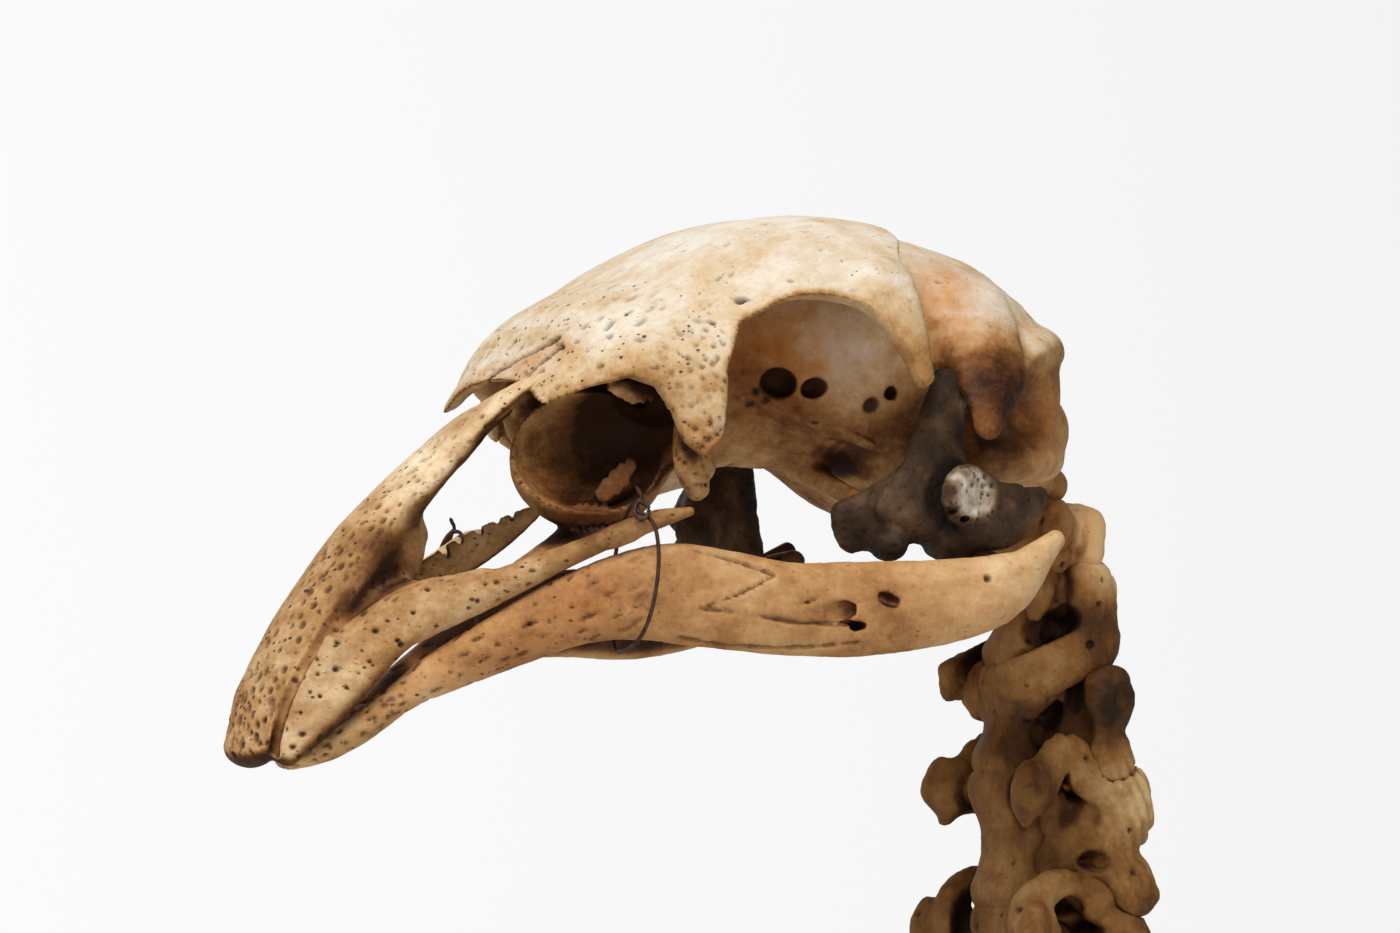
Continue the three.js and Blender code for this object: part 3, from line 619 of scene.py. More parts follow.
def make_upper_bill():
    """The culmen, the walls of the bill and the cheek bars, hollowed out and grooved."""
    bone = Solid()
    bone.add(Bar(CULMEN, step=1.5), 0.1)
    bone.add(Bar(NEAR_PRONG), 2.0)
    bone.add(Bar(BILL_SIDE), 2.5, both=True)
    far_edge = [
        [x, -y, z - FAR_DROP * ramp(-172, -150, x), a, b] for x, y, z, a, b in BILL_EDGE + CHEEK_BAR[1:]
    ]
    bone.add(Bar(BILL_EDGE), 2.5)
    bone.add(Bar(CHEEK_BAR), 2.0)
    bone.add(Bar(far_edge), 2.5)
    bone.add(Bar(BILL_SEPTUM), 3.5)
    bone.add(Bar(BILL_PALATE), 2.5)
    bone.cut(Lump((-150, 0, -22), (10, 17, 9)), 1.0)
    bone.cut(Lump((-165, -20, -13.5), (12, 12, 8.4), (0, -38, 0)), 3.0, both=True)
    bone.cut(Bar(BILL_HOLLOW), 2.5, both=True)
    bone.cut(Bar(BILL_GROOVE), 1.0, both=True)
    bone.add(Bar(PALATE_PLATE), 1.0)
    for x, z, deep in PLATE_NOTCHES:
        bone.cut(Lump((x, 8, z), (0.9, 3, deep), (0, -28, 0)), 0.4)
    bone.add(Bar(CULMEN_SPICULE), 0.5)
    return bone


# ---- the lower jaw ----

JAW_SIDE = [
    [-187, -8.5, -59, 2.4, 2], [-173, -14, -48.8, 3, 3.2], [-166, -17.5, -44, 3.2, 4.4],
    [-152, -24, -36.4, 3.4, 6], [-140, -29, -30.8, 3.6, 7.4], [-129, -33.8, -28, 3.8, 9.2],
    [-119, -37.4, -27.9, 4, 10.2], [-99, -42, -30.6, 4, 9.5], [-84, -44.5, -30.7, 4, 9.8],
    [-70, -47, -29.8, 4, 9.2], [-58, -49, -28, 4.2, 8.3], [-48, -50, -25.3, 4.2, 6.3],
    [-36, -50, -15.8, 1.8, 2],
]
JAW_TIP = [
    [-190, 0, -61.2, 5, 1.8], [-184, 0, -59.4, 9, 2.2], [-177, 0, -55.4, 11.5, 2.2],
    [-171, 0, -51.6, 12, 1.8],
]
JAW_WINDOWS = [
    ((-93, -49.5, -34), (9, 2.6, 0.45), (0, -5, 14)),
    ((-84.6, -46, -34.2), (1.9, 7, 0.8), (0, -6, 0)),
    ((-96, -48.5, -29.4), (3.4, 3, 0.5), (0, -18, 0)),
    ((-78, -50, -28.6), (2.7, 3.2, 1.5), (0, 24, 10)),
    ((-92, -48.5, -31.4), (8, 1.6, 2.4), (0, -6, 12)),
]
JAW_INNER = [[-51, -48, -22.5, 5, 3.6], [-48, -40, -20.5, 4.6, 3.2], [-46, -33, -18.5, 3, 2.4]]
FAR_SAG = 8.6  # how far the right branch hangs below the left one at its middle
FAR_THINNING = 0.42  # its half height lost for each millimetre of that
FAR_THINNEST = 2


def far_jaw_row(row):
    """A station of the right branch, from the left one's."""
    x, y, z, a, b = row
    sag = FAR_SAG * ramp(-188, -164, x) * ramp(-100, -140, x)
    return [x, -y, z - sag, a, max(b - FAR_THINNING * sag, FAR_THINNEST)]


def make_jaw():
    """Both branches, joined at the tip."""
    bone = Solid()
    bone.add(Bar(JAW_SIDE), 0.1)
    bone.add(Bar([far_jaw_row(row) for row in JAW_SIDE]), 0.1)
    bone.add(Bar(JAW_TIP), 2.5)
    bone.add(Bar(JAW_INNER, ALONG), 3.0, both=True)
    bone.cut(Lump((-54, -45, -14.2), (8, 9, 5.4)), 1.5, both=True)
    for at, radii, turned in JAW_WINDOWS:
        bone.cut(Lump(at, radii, turned), 0.5)
    return bone


# ---- the quadrates ----

QUADRATE_SHAFT = [
    [-54.5, -38, 17, 4.5, 3], [-57, -39, 10, 5, 3.2], [-59, -39.5, 3, 6.5, 3.4],
    [-60.5, -40, -5, 9.5, 4], [-62, -40, -12, 12.5, 4.4],
]
QUADRATE_NOSE = [
    [-66, -38, -9, 4.4, 7.5], [-71, -33.5, -11.5, 3.4, 6.6],
    [-75.5, -30, -13.5, 2.4, 5.4],
]
QUADRATE_ARM = [
    [-55, -46.5, -9.5, 3, 5.8], [-48, -48, -9.5, 2.8, 5.6], [-42, -48.3, -9, 2.2, 4.8],
    [-38.5, -48.3, -6.5, 1.4, 2.2],
]


def make_quadrate(whole):
    """The left quadrate; without its outer arm it is the mirror of the right one."""
    bone = Solid()
    bone.add(Bar(QUADRATE_SHAFT, ALONG), 0.1)
    bone.add(Bar(QUADRATE_NOSE), 3.0)
    bone.add(Lump((-70, -38, -17), (4, 4.5, 3.5)), 2.5)
    bone.add(Lump((-56, -40, -17), (5.5, 5.5, 3.8)), 2.5)
    bone.cut(Lump((-63.5, -44, -20.5), (4, 9, 3.4)), 1.5)
    if whole:
        bone.add(Bar(QUADRATE_ARM), 3.0)
        bone.add(Lump((-50, -45.5, -14.5), (8, 5.5, 3.6)), 2.0)
        bone.add(Lump((-56.5, -47.6, -7), (8, 4, 6.6), (0, 0, 20)), 2.0)
        bone.cut(Lump((-58, -52.2, -6.5), (5.6, 1.6, 4.6), (0, 0, 20)), 1.2)
        bone.cut(Lump((-62.4, -50, -10), (1.2, 2.5, 1.1)), 0.4)
        bone.cut(Lump((-59.6, -50.5, -11.6), (1, 2.5, 0.8)), 0.4)
    return bone


# ---- the neck ----

# top, foot: the body's ends in x and z; half: its half width; arch: how far behind it the arch is;
# wing, forward, lift: how far the wings reach sideways, forwards and up the body; spine: the ridge behind;
# arms, back: how far the joint arms reach sideways and backwards. Flanges and hollows are its own.
NECK = {
    "atlas": dict(
        top=(-4.5, -9), foot=(-6, -19.5), half=11.5, arch=8,
        wing=14, forward=3, lift=0.2, spine=1, arms=0, back=0,
    ),
    "axis": dict(
        top=(-6, -20), foot=(-9.5, -42), half=9, arch=13,
        wing=10.5, forward=4, lift=0.2, spine=9, arms=11, back=-1,
        flanges=[[
            [-20.5, -11, -45.5, 4.2, 1.6], [-12, -12.5, -43.5, 5.5, 2], [-1, -11, -39.5, 5.5, 2],
            [9, -9, -36, 4.5, 1.6],
        ]],
    ),
    "cervical_3": dict(
        top=(-10, -43), foot=(-12, -65), half=9, arch=13,
        wing=10.5, forward=2.2, lift=0.12, spine=2, arms=15, back=5,
        hollows=[((-5, -12.5, -56), (6.5, 5, 6.5))],
    ),
    "cervical_4": dict(
        top=(-12, -66), foot=(-11, -94), half=10, arch=14,
        wing=16.5, forward=7, lift=0.04, spine=3, arms=16, back=9,
        flanges=[[
            [-17, -13, -72, 3, 2.4], [-12.5, -14, -66, 4.5, 2.6], [-7.5, -14, -60.5, 4.2, 2.6],
            [0, -14, -65, 6, 3.6], [9, -14, -69, 6, 4.4],
        ]],
        hollows=[((-4, -15, -78.5), (2.6, 6, 2.6)), ((1.5, -15, -84.5), (2.4, 6, 2))],
    ),
    "cervical_5": dict(
        top=(-11, -95), foot=(-10, -124), half=10.5, arch=14,
        wing=20, forward=9, lift=0.1, spine=3, arms=16, back=8,
        flanges=[[
            [-19, -13, -101, 2.2, 2], [-17, -14.5, -94, 3.8, 2.4], [-10, -15, -89.5, 3.8, 2.8],
            [2, -14, -93, 5, 4],
        ]],
        hollows=[((-7, -16, -96), (3.6, 7, 4.4))],
    ),
}


def placer(top, foot):
    """Stations by the share of the way down the body, how far behind its axis and to which side."""
    return lambda share, behind, y, a, b: [
        top[0] + (foot[0] - top[0]) * share + behind,
        y,
        top[1] + (foot[1] - top[1]) * share,
        a,
        b,
    ]


def arms_of(shape, margin=0.0):
    """Joint arms: broad facets above beside the arch, tapering hooks below and behind."""
    at = placer(shape["top"], shape["foot"])
    arch, arms, back = shape["arch"], shape["arms"], shape["back"]
    rows = [
        at(0.12, arch + back - 3, -arms * 0.95, 5.5, 4.2),
        at(0.32, arch + back - 2, -arms * 0.92, 6.5, 5),
        at(0.58, arch + back * 0.45, -arms * 0.8, 6, 4.6),
        at(0.78, arch + back * 0.7, -arms * 0.9, 6.5, 4.6),
        at(0.95, arch + back, -arms, 5.5, 3.8),
    ]
    return Bar(grown(rows, margin), ALONG)


def make_vertebra(shape, above):
    """The body, the arch behind it, wings, joint arms and spine, clear of the bone above."""
    at = placer(shape["top"], shape["foot"])
    tall, half, arch = shape["top"][1] - shape["foot"][1], shape["half"], shape["arch"]
    depth, wing, forward, lift = half * 0.7, shape["wing"], shape["forward"], shape["lift"]
    end = depth * 0.5 / tall
    bone = Solid()
    waist = at(0.5, 0.5, 0, half * 0.6, depth * 0.75)
    bone.add(Bar([at(end, 0, 0, half, depth), waist, at(1 - end, 0, 0, half, depth)], power=2.4), 0.1)
    arch_rows = [at(share, arch, 0, half * 1.25, half * 0.45) for share in (0.22, 0.8)]
    bone.add(Bar(arch_rows), 1.6)
    side_walls = [at(0.48, 0, -half * 0.5, tall * 0.27, 3), at(0.5, arch, -half * 0.6, tall * 0.27, 3)]
    bone.add(Bar(side_walls, UPRIGHT), 2.0, both=True)
    spine, behind = shape["spine"], arch + shape["back"] * 0.6
    bone.add(Bar([at(0.04, behind, 0, half * 1.15, 3), at(0.97, behind, 0, half * 1.1, 3)]), 2.0)
    ridge = [at(0.3, arch + 1, 0, tall * 0.28, 2.4), at(0.34, arch + 2 + spine, 0, tall * 0.26, 1.4)]
    bone.add(Bar(ridge, UPRIGHT), 3.0)
    wings = [
        at(lift + 0.14, arch * 0.5, -half * 0.7, 4.2, 3.4),
        at(lift + 0.08, 0, -wing * 0.7, 4.8, 3.2),
        at(lift, -forward, -wing, 5.4, 2.6),
    ]
    bone.add(Bar(wings, UPRIGHT), 2.4, both=True)
    spur = [
        at(lift + 0.06, -forward, -wing * 0.97, 3.6, 2.4),
        at(lift + 0.3, -forward * 0.9, -wing * 0.9, 1.6, 1.5),
    ]
    bone.add(Bar(spur), 3.0, both=True)
    if shape["arms"]:
        bone.add(arms_of(shape), 2.0, both=True)
        canal = at(0.32, arch * 0.42, -wing * 0.55, 0, 0)[:3]
        pocket = at(0.62, arch * 0.35, -half * 0.95, 0, 0)[:3]
        notch = at(0.78, arch * 0.72, -half * 1.25, 0, 0)[:3]
        bone.cut(Lump(canal, (3.2, 3, 5)), 2.0, both=True)
        bone.cut(Lump(pocket, (3.4, 4.5, 4.6), (0, 20, 0)), 2.0, both=True)
        bone.cut(Lump(notch, (2.2, 3.4, 1.7)), 1.0, both=True)
    for flange in shape.get("flanges", ()):
        bone.add(Bar(flange, UPRIGHT), 3.0, both=True)
    for hollow, radii in shape.get("hollows", ()):
        bone.cut(Lump(hollow, radii), 1.5, both=True)
    bone.cut(above, 0.4, both=True)
    return bone


# ---- the skin of the bones ----


def dents(points, *layers):
    """The sum of layers of shallow dents: (size, seed, depth)."""
    return sum(depth * waves(points, size, seed) for size, seed, depth in layers)


def pits(points, normals, size, seed, share, radius, stretch=(1, 1, 1)):
    """How deep each point lies in scattered round pits, 0 to 1.

    size is their spacing, share how many of the scattered points are pits, and radius is in spacings.
    """
    away, own = spots(points / np.array(stretch), normals, size, seed)
    reach = radius * (0.55 + 0.9 * np.modf(own * 7.3)[0])
    return np.where(own < share, ramp(reach, reach * 0.35, away), 0)


def scored(points, line, width, wobble=0.35):
    """1 on a polyline over the surface, falling to 0 at a width's distance, with a wandering edge."""
    line = np.asarray(line, float)
    best = np.full(len(points), np.inf)
    near = np.all((points > line.min(0) - 3) & (points < line.max(0) + 3), axis=1)
    if not near.any():
        return np.zeros(len(points))
    mine = points[near]
    d = np.full(len(mine), np.inf)
    for a, b in zip(line[:-1], line[1:]):
        t = np.clip(((mine - a) @ (b - a)) / ((b - a) @ (b - a)), 0, 1)
        d = np.minimum(d, np.linalg.norm(mine - a - t[:, None] * (b - a), axis=1))
    best[near] = d + wobble * waves(mine, 2.2, 5, 2)
    return ramp(width, 0.25 * width, best)


def marked(points, marks):
    """The sum of soft round marks: (x, y, z, radius, amount)."""
    total = np.zeros(len(points))
    for x, y, z, radius, amount in marks:
        total += amount * np.exp(-(((points - [x, y, z]) / radius) ** 2).sum(1))
    return total


def skin(push, dark=0.0, tone_and_shading=0.0, warm=0.0, pores=0.0):
    """What a bone's surface adds: height in mm, darkness of pits, cracks and seams (painted shade in the
    pits and cracks), lightness that also holds painted light and shade, amber stain, share of fine pores.
    """
    return push, dark, tone_and_shading, warm, pores


# Columns: across the front of the roof, up its slope, and a little of the way into it.
NOSE_FRONT = np.array([[0, 0.5, -0.2], [1, 0, 0], [0, 0.86, 0.12]])
ROOF_CRACKS = [
    [[-142.4, 2.4, 16.9], [-141.2, -2.2, 19.1], [-138.7, -7.9, 22], [-135.6, -14.6, 24.6]],
    [[-144, -12.5, 14.5], [-142, -12.7, 16.9], [-139, -14.3, 20.4], [-136.7, -16.4, 23]],
]
ROOF_HOLE, ROOF_HOLE_RADII = [-107.6, -38.9, 32.6], [1.3, 1, 0.8]
# Soft marks of lightness: a few the bone's own tone; most are painted shade (a near-black patch where the
# nose chamber opens, its bowl, the lower orbit, the hollow beside the cheek process) and painted light
# lifting the orbit wall and the rear shelf.
CRANIUM_TONE_AND_SHADING = [
    (-76, -28, 22, 14, 0.26), (-50, -34, 32, 12, 0.05), (-35, -30, 12, 14, -0.27),
    (-47, -43, 16, 11, -0.6), (-78, -18, 26, 12, 0.08), (-33, -24, -1, 14, 0.25),
    (-80, -17, 9, 10, -0.25), (-124, -10, 0, 13, -0.3), (-118, -16, 11, 9, -1.7),
    (-130, -15, -12.5, 7, -0.28), (-15, -20, 1, 12, 0.28), (-125, -12, 0, 15, -0.1),
    (-114, -42, 8, 7, 0.1), (-86, -14, 18, 10, -0.12),
    (-88, -20, 34, 12, 0.2), (-116, -34, 0, 8, -0.2), (-60, -28, 6, 10, -0.2),
]
CRANIUM_STAINS = [
    (-140, -9, 20, 5.5, 0.8), (-136, -18, 21, 5, 0.4), (-52, -33, 34, 9, 0.9),
    (-48, -30, 42, 6, 0.5), (-78, -18, 24, 16, 0.7), (-48, -44, 12, 12, 0.7),
    (-20, -20, 5, 14, 0.5), (-92, -20, 22, 14, 0.5), (-62, -30, 8, 9, 0.35), (-114, -42, 0, 5, 0.9),
    (-132, -14, -11, 9, 0.6), (-20, -20, 3, 16, 0.6), (-82, -18, 25, 14, 0.35),
]


def cranium_skin(points, normals):
    """Pitted at the front, spongy round the tear processes, with cracks and one hole in the roof."""
    x, y, z = points.T
    top = ramp(0.1, 0.7, normals[:, 2]) * ramp(8, 26, z)
    front = ramp(-112, -130, x) * ramp(-0.2, 0.3, normals[:, 2]) * ramp(5, 14, z)
    long_pits = pits(points, normals, 2.8, 21, 0.6, 0.24, (2.4, 1, 1)) * front
    roof_pits = pits(points, normals, 3.6, 22, 0.3, 0.14, (1.8, 1, 1)) * top
    spongy = np.maximum(ramp(9, 4, np.abs(x + 118)) * ramp(6, 18, z) * ramp(-28, -40, y), 0)
    spongy = np.maximum(spongy, ramp(6, 2, np.linalg.norm(points - [-115, -34, 2], axis=1) - 8))
    round_pits = pits(points, normals, 2.1, 23, 0.8, 0.33) * spongy
    flattened = points @ NOSE_FRONT
    cracks = [scored(flattened, line @ NOSE_FRONT, 0.9) for line in np.array(ROOF_CRACKS)]
    cracks = np.maximum.reduce(cracks)
    from_hole = np.linalg.norm((points - ROOF_HOLE) / ROOF_HOLE_RADII, axis=1)
    hole = ramp(1.7, 0.7, from_hole + 0.5 * waves(points, 2, 9, 2))
    rough_rim = ramp(6, 0, np.abs(z - np.interp(x, *np.array(ORBIT_RIM).T))) * ramp(-40, -46, y)
    push = dents(points, (17, 1, 0.45), (4, 4, 0.12))
    push += dents(points, (1.6, 6, 0.09)) * (0.4 + rough_rim + spongy)
    push -= 0.8 * long_pits + 0.5 * roof_pits + 0.9 * round_pits + 1.6 * cracks + 1.4 * hole
    # Pits, cracks and the roof hole darkened: painted shade in them.
    dark = np.clip(0.7 * long_pits + 0.55 * roof_pits + 0.7 * round_pits + 1.6 * cracks + hole, 0, 1)
    left = np.column_stack([x, -np.abs(y), z])
    # Painted shade round the foramina.
    for at, radii in ORBIT_HOLES:
        dark = np.maximum(dark, ramp(1.25, 0.95, np.linalg.norm((left - at) / radii, axis=1)))
    # Upward-facing high faces lighter: partly the roof's bleaching, partly painted light from above. Low
    # faces from the orbits back darker: painted shade.
    tone_and_shading = 0.28 * top + marked(points, CRANIUM_TONE_AND_SHADING) - 0.12 * ramp(30, 5, z) * ramp(-100, -60, x)
    pores = np.clip(0.75 * front + 0.9 * spongy + 0.2 * top + 0.2, 0, 1)
    return skin(push, dark, tone_and_shading, marked(points, CRANIUM_STAINS), pores)


BILL_SLOPE = rotation((0, -50, 0))
JAW_SLOPE = rotation((0, -24, 0))
PRONG_CRACK = [[-152.5, -7.5, 1.5], [-149, -9.6, 5.6], [-145.6, -12.2, 9.6], [-143, -14.2, 12.6]]


# Soft marks of lightness: painted light on the culmen's top, painted shade on the culmen's shadowed side
# and on the cheek bar.
BILL_TONE_AND_SHADING = [
    (-158, 0, 0, 13, 0.25), (-173, -8, -22, 8, -0.42), (-182, -10, -30, 5, -0.2),
    (-138, -32, -18, 14, -0.4), (-122, -38, -12, 8, -0.25),
]
BILL_STAINS = [(-176, -17, -43, 5, 0.6), (-184, -13, -33, 5, 0.3), (-170, -14, -20, 9, 0.4)]


def bill_skin(points, normals):
    """Slots along the culmen's band, deep pits at the tip, scattered nerve holes on the sides."""
    x, y, z = points.T
    band = ramp(10.5, 7.5, np.abs(y)) * ramp(-0.35, 0.15, normals[:, 2] - 0.6 * normals[:, 0])
    tip = ramp(-40, -52, z)
    side = ramp(8, 11, np.abs(y)) * (1 - band)
    sloped, tilted = points @ BILL_SLOPE, normals @ BILL_SLOPE
    fuller = 0.35 + 0.65 * ramp(-155, -172, x)  # towards the tip
    dense = pits(sloped, tilted, 2.0, 31, 0.85, 0.28, (1.7, 1, 1)) * band * fuller
    deep = pits(sloped, tilted, 2.2, 33, 1.0, 0.36, (1.3, 1, 1)) * np.maximum(band * tip, 0)
    wide = pits(points, normals, 2.7, 32, 0.6, 0.2, (1.25, 1, 1.1)) * side * ramp(-150, -160, x)
    low = pits(points, normals, 2.6, 34, 0.45, 0.19, (1.8, 1, 1)) * side * ramp(-172, -150, x)
    push = dents(points, (14, 41, 0.3), (3.4, 42, 0.1), (1.5, 46, 0.07))
    gap = scored(points, PRONG_CRACK, 1.1)
    push -= 0.75 * dense + 0.9 * deep + 0.95 * wide + 0.6 * low + 0.8 * gap
    # Pits and the prong's crack darkened: painted shade in them.
    dark = np.clip(0.85 * dense + 0.85 * deep + 0.95 * wide + 0.9 * low + gap, 0, 1)
    tone_and_shading = 0.16 * side + 0.06 * band - 0.04 * tip + marked(points, BILL_TONE_AND_SHADING)
    # Downward-facing faces near the midline darker: painted shade on the undersides.
    tone_and_shading -= 0.5 * ramp(-0.1, -0.6, normals[:, 2]) * ramp(22, 12, np.abs(y))
    warm = 0.35 * tip * band + marked(points, BILL_STAINS)
    return skin(push, dark, tone_and_shading, warm, 0.95 * band * (1 + 0.5 * tip) + 0.75 * side + 0.2)


JAW_SUTURES = [
    ([[-124, -38.5, -17.6], [-116, -40.5, -19.4], [-109, -42, -21.6], [-102.6, -44.2, -24]], 0.55),
    ([[-102.6, -44.2, -24], [-110, -43.6, -27.6], [-118.9, -41.4, -30.8]], 0.35),
    (
        [
            [-118.9, -41.4, -30.8], [-112, -43.6, -31.6], [-106, -45, -32.4], [-98, -46, -33.6],
            [-86, -48, -33.8],
        ],
        0.6,
    ),
    ([[-122, -38.6, -36.6], [-112, -41, -38.2], [-96, -45, -38.6], [-84, -47.2, -37.4]], 0.45),
]
JAW_STAINS = [
    (-139.8, -33.1, -30.2, 8, 0.5), (-150, -27, -38, 9, 0.3), (-60, -52, -30, 12, 0.2),
    (-170, -18, -46, 8, 0.4), (-128, 33, -43, 16, 0.7),
]
# Soft marks of lightness: mostly painted light on the lit front, lower edge and rear of the near branch,
# with a few slight darker patches.
JAW_TONE_AND_SHADING = [
    (-100, -43, -38, 9, 0.15), (-110, -43, -25, 9, 0.12), (-52, -53, -24, 12, 0.2),
    (-168, -17, -48, 10, 0.12), (-128, -36, -27, 14, -0.1), (-95, -46, -31, 8, -0.08),
    (-118, -41, -20, 8, -0.08),
]


def jaw_skin(points, normals):
    """Long slots towards the tip, the seams between the jaw's bones, and the inner face darkened as painted
    shade.
    """
    x, y, z = points.T
    fore = ramp(-118, -145, x)
    slots = pits(points @ JAW_SLOPE, normals @ JAW_SLOPE, 2.2, 51, 0.6, 0.22, (3.4, 1, 1)) * fore
    round_pits = pits(points, normals, 3.0, 52, 0.3, 0.16) * (0.4 + 0.6 * fore)
    tip = pits(points, normals, 2.0, 53, 0.8, 0.33, (1.3, 1, 1)) * ramp(-168, -178, x)
    seams = np.maximum.reduce([scored(points, line, width) for line, width in JAW_SUTURES])
    hole = ramp(1.1, 0.5, np.linalg.norm(points - [-55.8, -53.2, -24.2], axis=1))
    push = dents(points, (15, 61, 0.35), (3.8, 62, 0.12), (1.4, 63, 0.05))
    push -= 0.7 * slots + 0.5 * round_pits + 0.9 * tip + 0.9 * seams + hole
    # Slots, pits and the small hole darkened as painted shade in them; the seams' dark lines are their own
    # colour.
    dark = np.clip(0.75 * slots + 0.6 * round_pits + 0.7 * tip + 0.6 * seams + hole, 0, 1)
    # Painted shade: the far branch's inner face, inside the mouth, darkened above its lower edge and at the
    # tip.
    inner = ramp(0, 8, y) * ramp(0.2, -0.4, normals[:, 1]) * ramp(-0.75, -0.35, normals[:, 2])
    inner *= np.maximum(ramp(-43, -37, z), ramp(-146, -154, x))
    # Lighter towards the tip and the rear: painted light.
    tone_and_shading = marked(points, JAW_TONE_AND_SHADING) + 0.12 * ramp(-150, -165, x) + 0.1 * ramp(-80, -60, x) - 0.55 * inner
    tone_and_shading += 0.3 * ramp(4, 14, y) * ramp(-39, -42, z) * ramp(-152, -140, x)  # painted light on the far branch's shaded underside
    return skin(push, dark, tone_and_shading, marked(points, JAW_STAINS), 0.25 + 0.6 * fore)


QUADRATE_TONES = [(-52, -40, 12, 4, 0.35), (-42, -49, -12, 6, 0.15)]


def quadrate_skin(points, normals):
    """Dark and rough, with the pale spongy facet on its outer arm."""
    from_facet = np.linalg.norm(points - [-58, -50.5, -6.5], axis=1)
    facet = ramp(7.4, 3.8, from_facet + 1.5 * waves(points, 3, 75, 2))
    crack = scored(points, [[-72, -38.8, -4], [-68, -42, -12], [-64, -43.6, -19]], 0.5)
    holes = pits(points, normals, 1.8, 71, 0.5, 0.3) * (0.25 + 0.75 * facet)
    push = dents(points, (9, 72, 0.6), (3, 73, 0.35), (1.3, 74, 0.2)) - 1.2 * holes - 0.5 * crack
    tone_and_shading = -0.22 + 0.62 * facet + 0.25 * waves(points, 6, 76) + marked(points, QUADRATE_TONES)
    # Holes and the crack darkened: painted shade in them.
    return skin(push, np.clip(holes + 0.8 * crack, 0, 1), tone_and_shading, 0.0, 0.4 + 0.5 * facet)


# Soft marks of lightness: painted light on the lit wings and arms, painted shade in the hollow behind the
# third vertebra and on the axis.
NECK_TONE_AND_SHADING = [
    (10, -15, -70, 12, 0.35), (-10, -14, -60, 6, 0.3), (-15, -14, -92, 8, 0.25),
    (-8, -12, -42, 9, 0.25), (-12, -8, -56, 9, -0.3), (6, -14, -52, 9, -0.4),
    (0, -12, -34, 12, -0.32),
]


def vertebra_skin(points, normals):
    """Rough brown bone, painted lighter above and darker below as light and shade, with ridges on the back
    of the fourth vertebra.
    """
    x, _, z = points.T
    ribs = np.sin(2.1 * (z * 0.5 + x) + 2.5 * waves(points, 9, 83, 2))
    ribs *= ramp(0, 10, x) * ramp(-58, -66, z) * ramp(-92, -84, z)
    holes = pits(points, normals, 7, 84, 0.3, 0.12)
    push = dents(points, (10, 81, 0.55), (3.2, 82, 0.32), (1.5, 85, 0.12)) + 0.4 * ribs - 0.9 * holes
    # Darker low down and lighter on the top rear: painted shade and painted light.
    tone_and_shading = -0.08 * ramp(-30, -60, z) + 0.8 * ramp(-6, 4, x) * ramp(-34, -14, z) + marked(points, NECK_TONE_AND_SHADING)
    # Holes and the grooves between the ribs darkened: painted shade in them.
    return skin(push, np.clip(holes - 0.25 * ribs, 0, 1), tone_and_shading, 0.3 * ramp(-45, -10, z), 0.3)


# ---- meshes ----


def mesh_object(name, points, faces, material, node, attributes=()):
    """A smooth mesh in the part's frame, riding on the root and replacing a CAD node."""
    mesh = bpy.data.meshes.new(name)
    mesh.vertices.add(len(points))
    mesh.vertices.foreach_set("co", ((points + SKULL_ORIGIN) * MM).astype(np.float32).ravel())
    mesh.loops.add(faces.size)
    mesh.loops.foreach_set("vertex_index", faces.astype(np.int32).ravel())
    mesh.polygons.add(len(faces))
    mesh.polygons.foreach_set("loop_start", np.arange(0, faces.size, 4, dtype=np.int32))
    mesh.polygons.foreach_set("use_smooth", np.ones(len(faces), bool))
    mesh.update(calc_edges=True)
    for key, values in attributes:
        layer = mesh.attributes.new(key, "FLOAT", "POINT")
        layer.data.foreach_set("value", (values * np.ones(len(points))).astype(np.float32))
    mesh.materials.append(material)
    made = bpy.data.objects.new(name, mesh)
    bpy.context.collection.objects.link(made)
    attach(made, "root")
    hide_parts(node)


NEAR_PROBE, WIDE_PROBE = 2.5, 8  # how far out the space round a point is felt
PAINTED_SHADE_RANGE = (0.15, 0.55)  # flatter places get no painted shade, deeper ones the full painted crevice shade


def build(name, solid, cell, material, node, finish, mirror=False):
    """Mesh a bone, feel how hollow each place is for the painted shade in its crevices, then press its skin
    into it.
    """
    cell *= COARSER
    points, quads = surface(solid, cell)
    normals = normals_of(points, quads)
    push, dark, tone_and_shading, warm, pores = finish(points, normals)
    # How enclosed each place is; the bone materials darken and tint it there as painted shade in crevices.
    near = sample(solid, points + normals * NEAR_PROBE) / NEAR_PROBE
    wide = sample(solid, points + normals * WIDE_PROBE, WIDE_PROBE) / WIDE_PROBE
    crevice_shade = np.clip(1 - 0.5 * near - 0.5 * wide, 0, 1)
    crevice_shade *= ramp(*PAINTED_SHADE_RANGE, crevice_shade)
    points = points + normals * push[:, None]
    if mirror:
        points, quads = points * [1, -1, 1], quads[:, ::-1]
    extra = (("crevice_shade", crevice_shade), ("pit", dark), ("tone_and_shading", tone_and_shading), ("warm", warm), ("pores", pores))
    mesh_object(name, points, quads, material, node, extra)


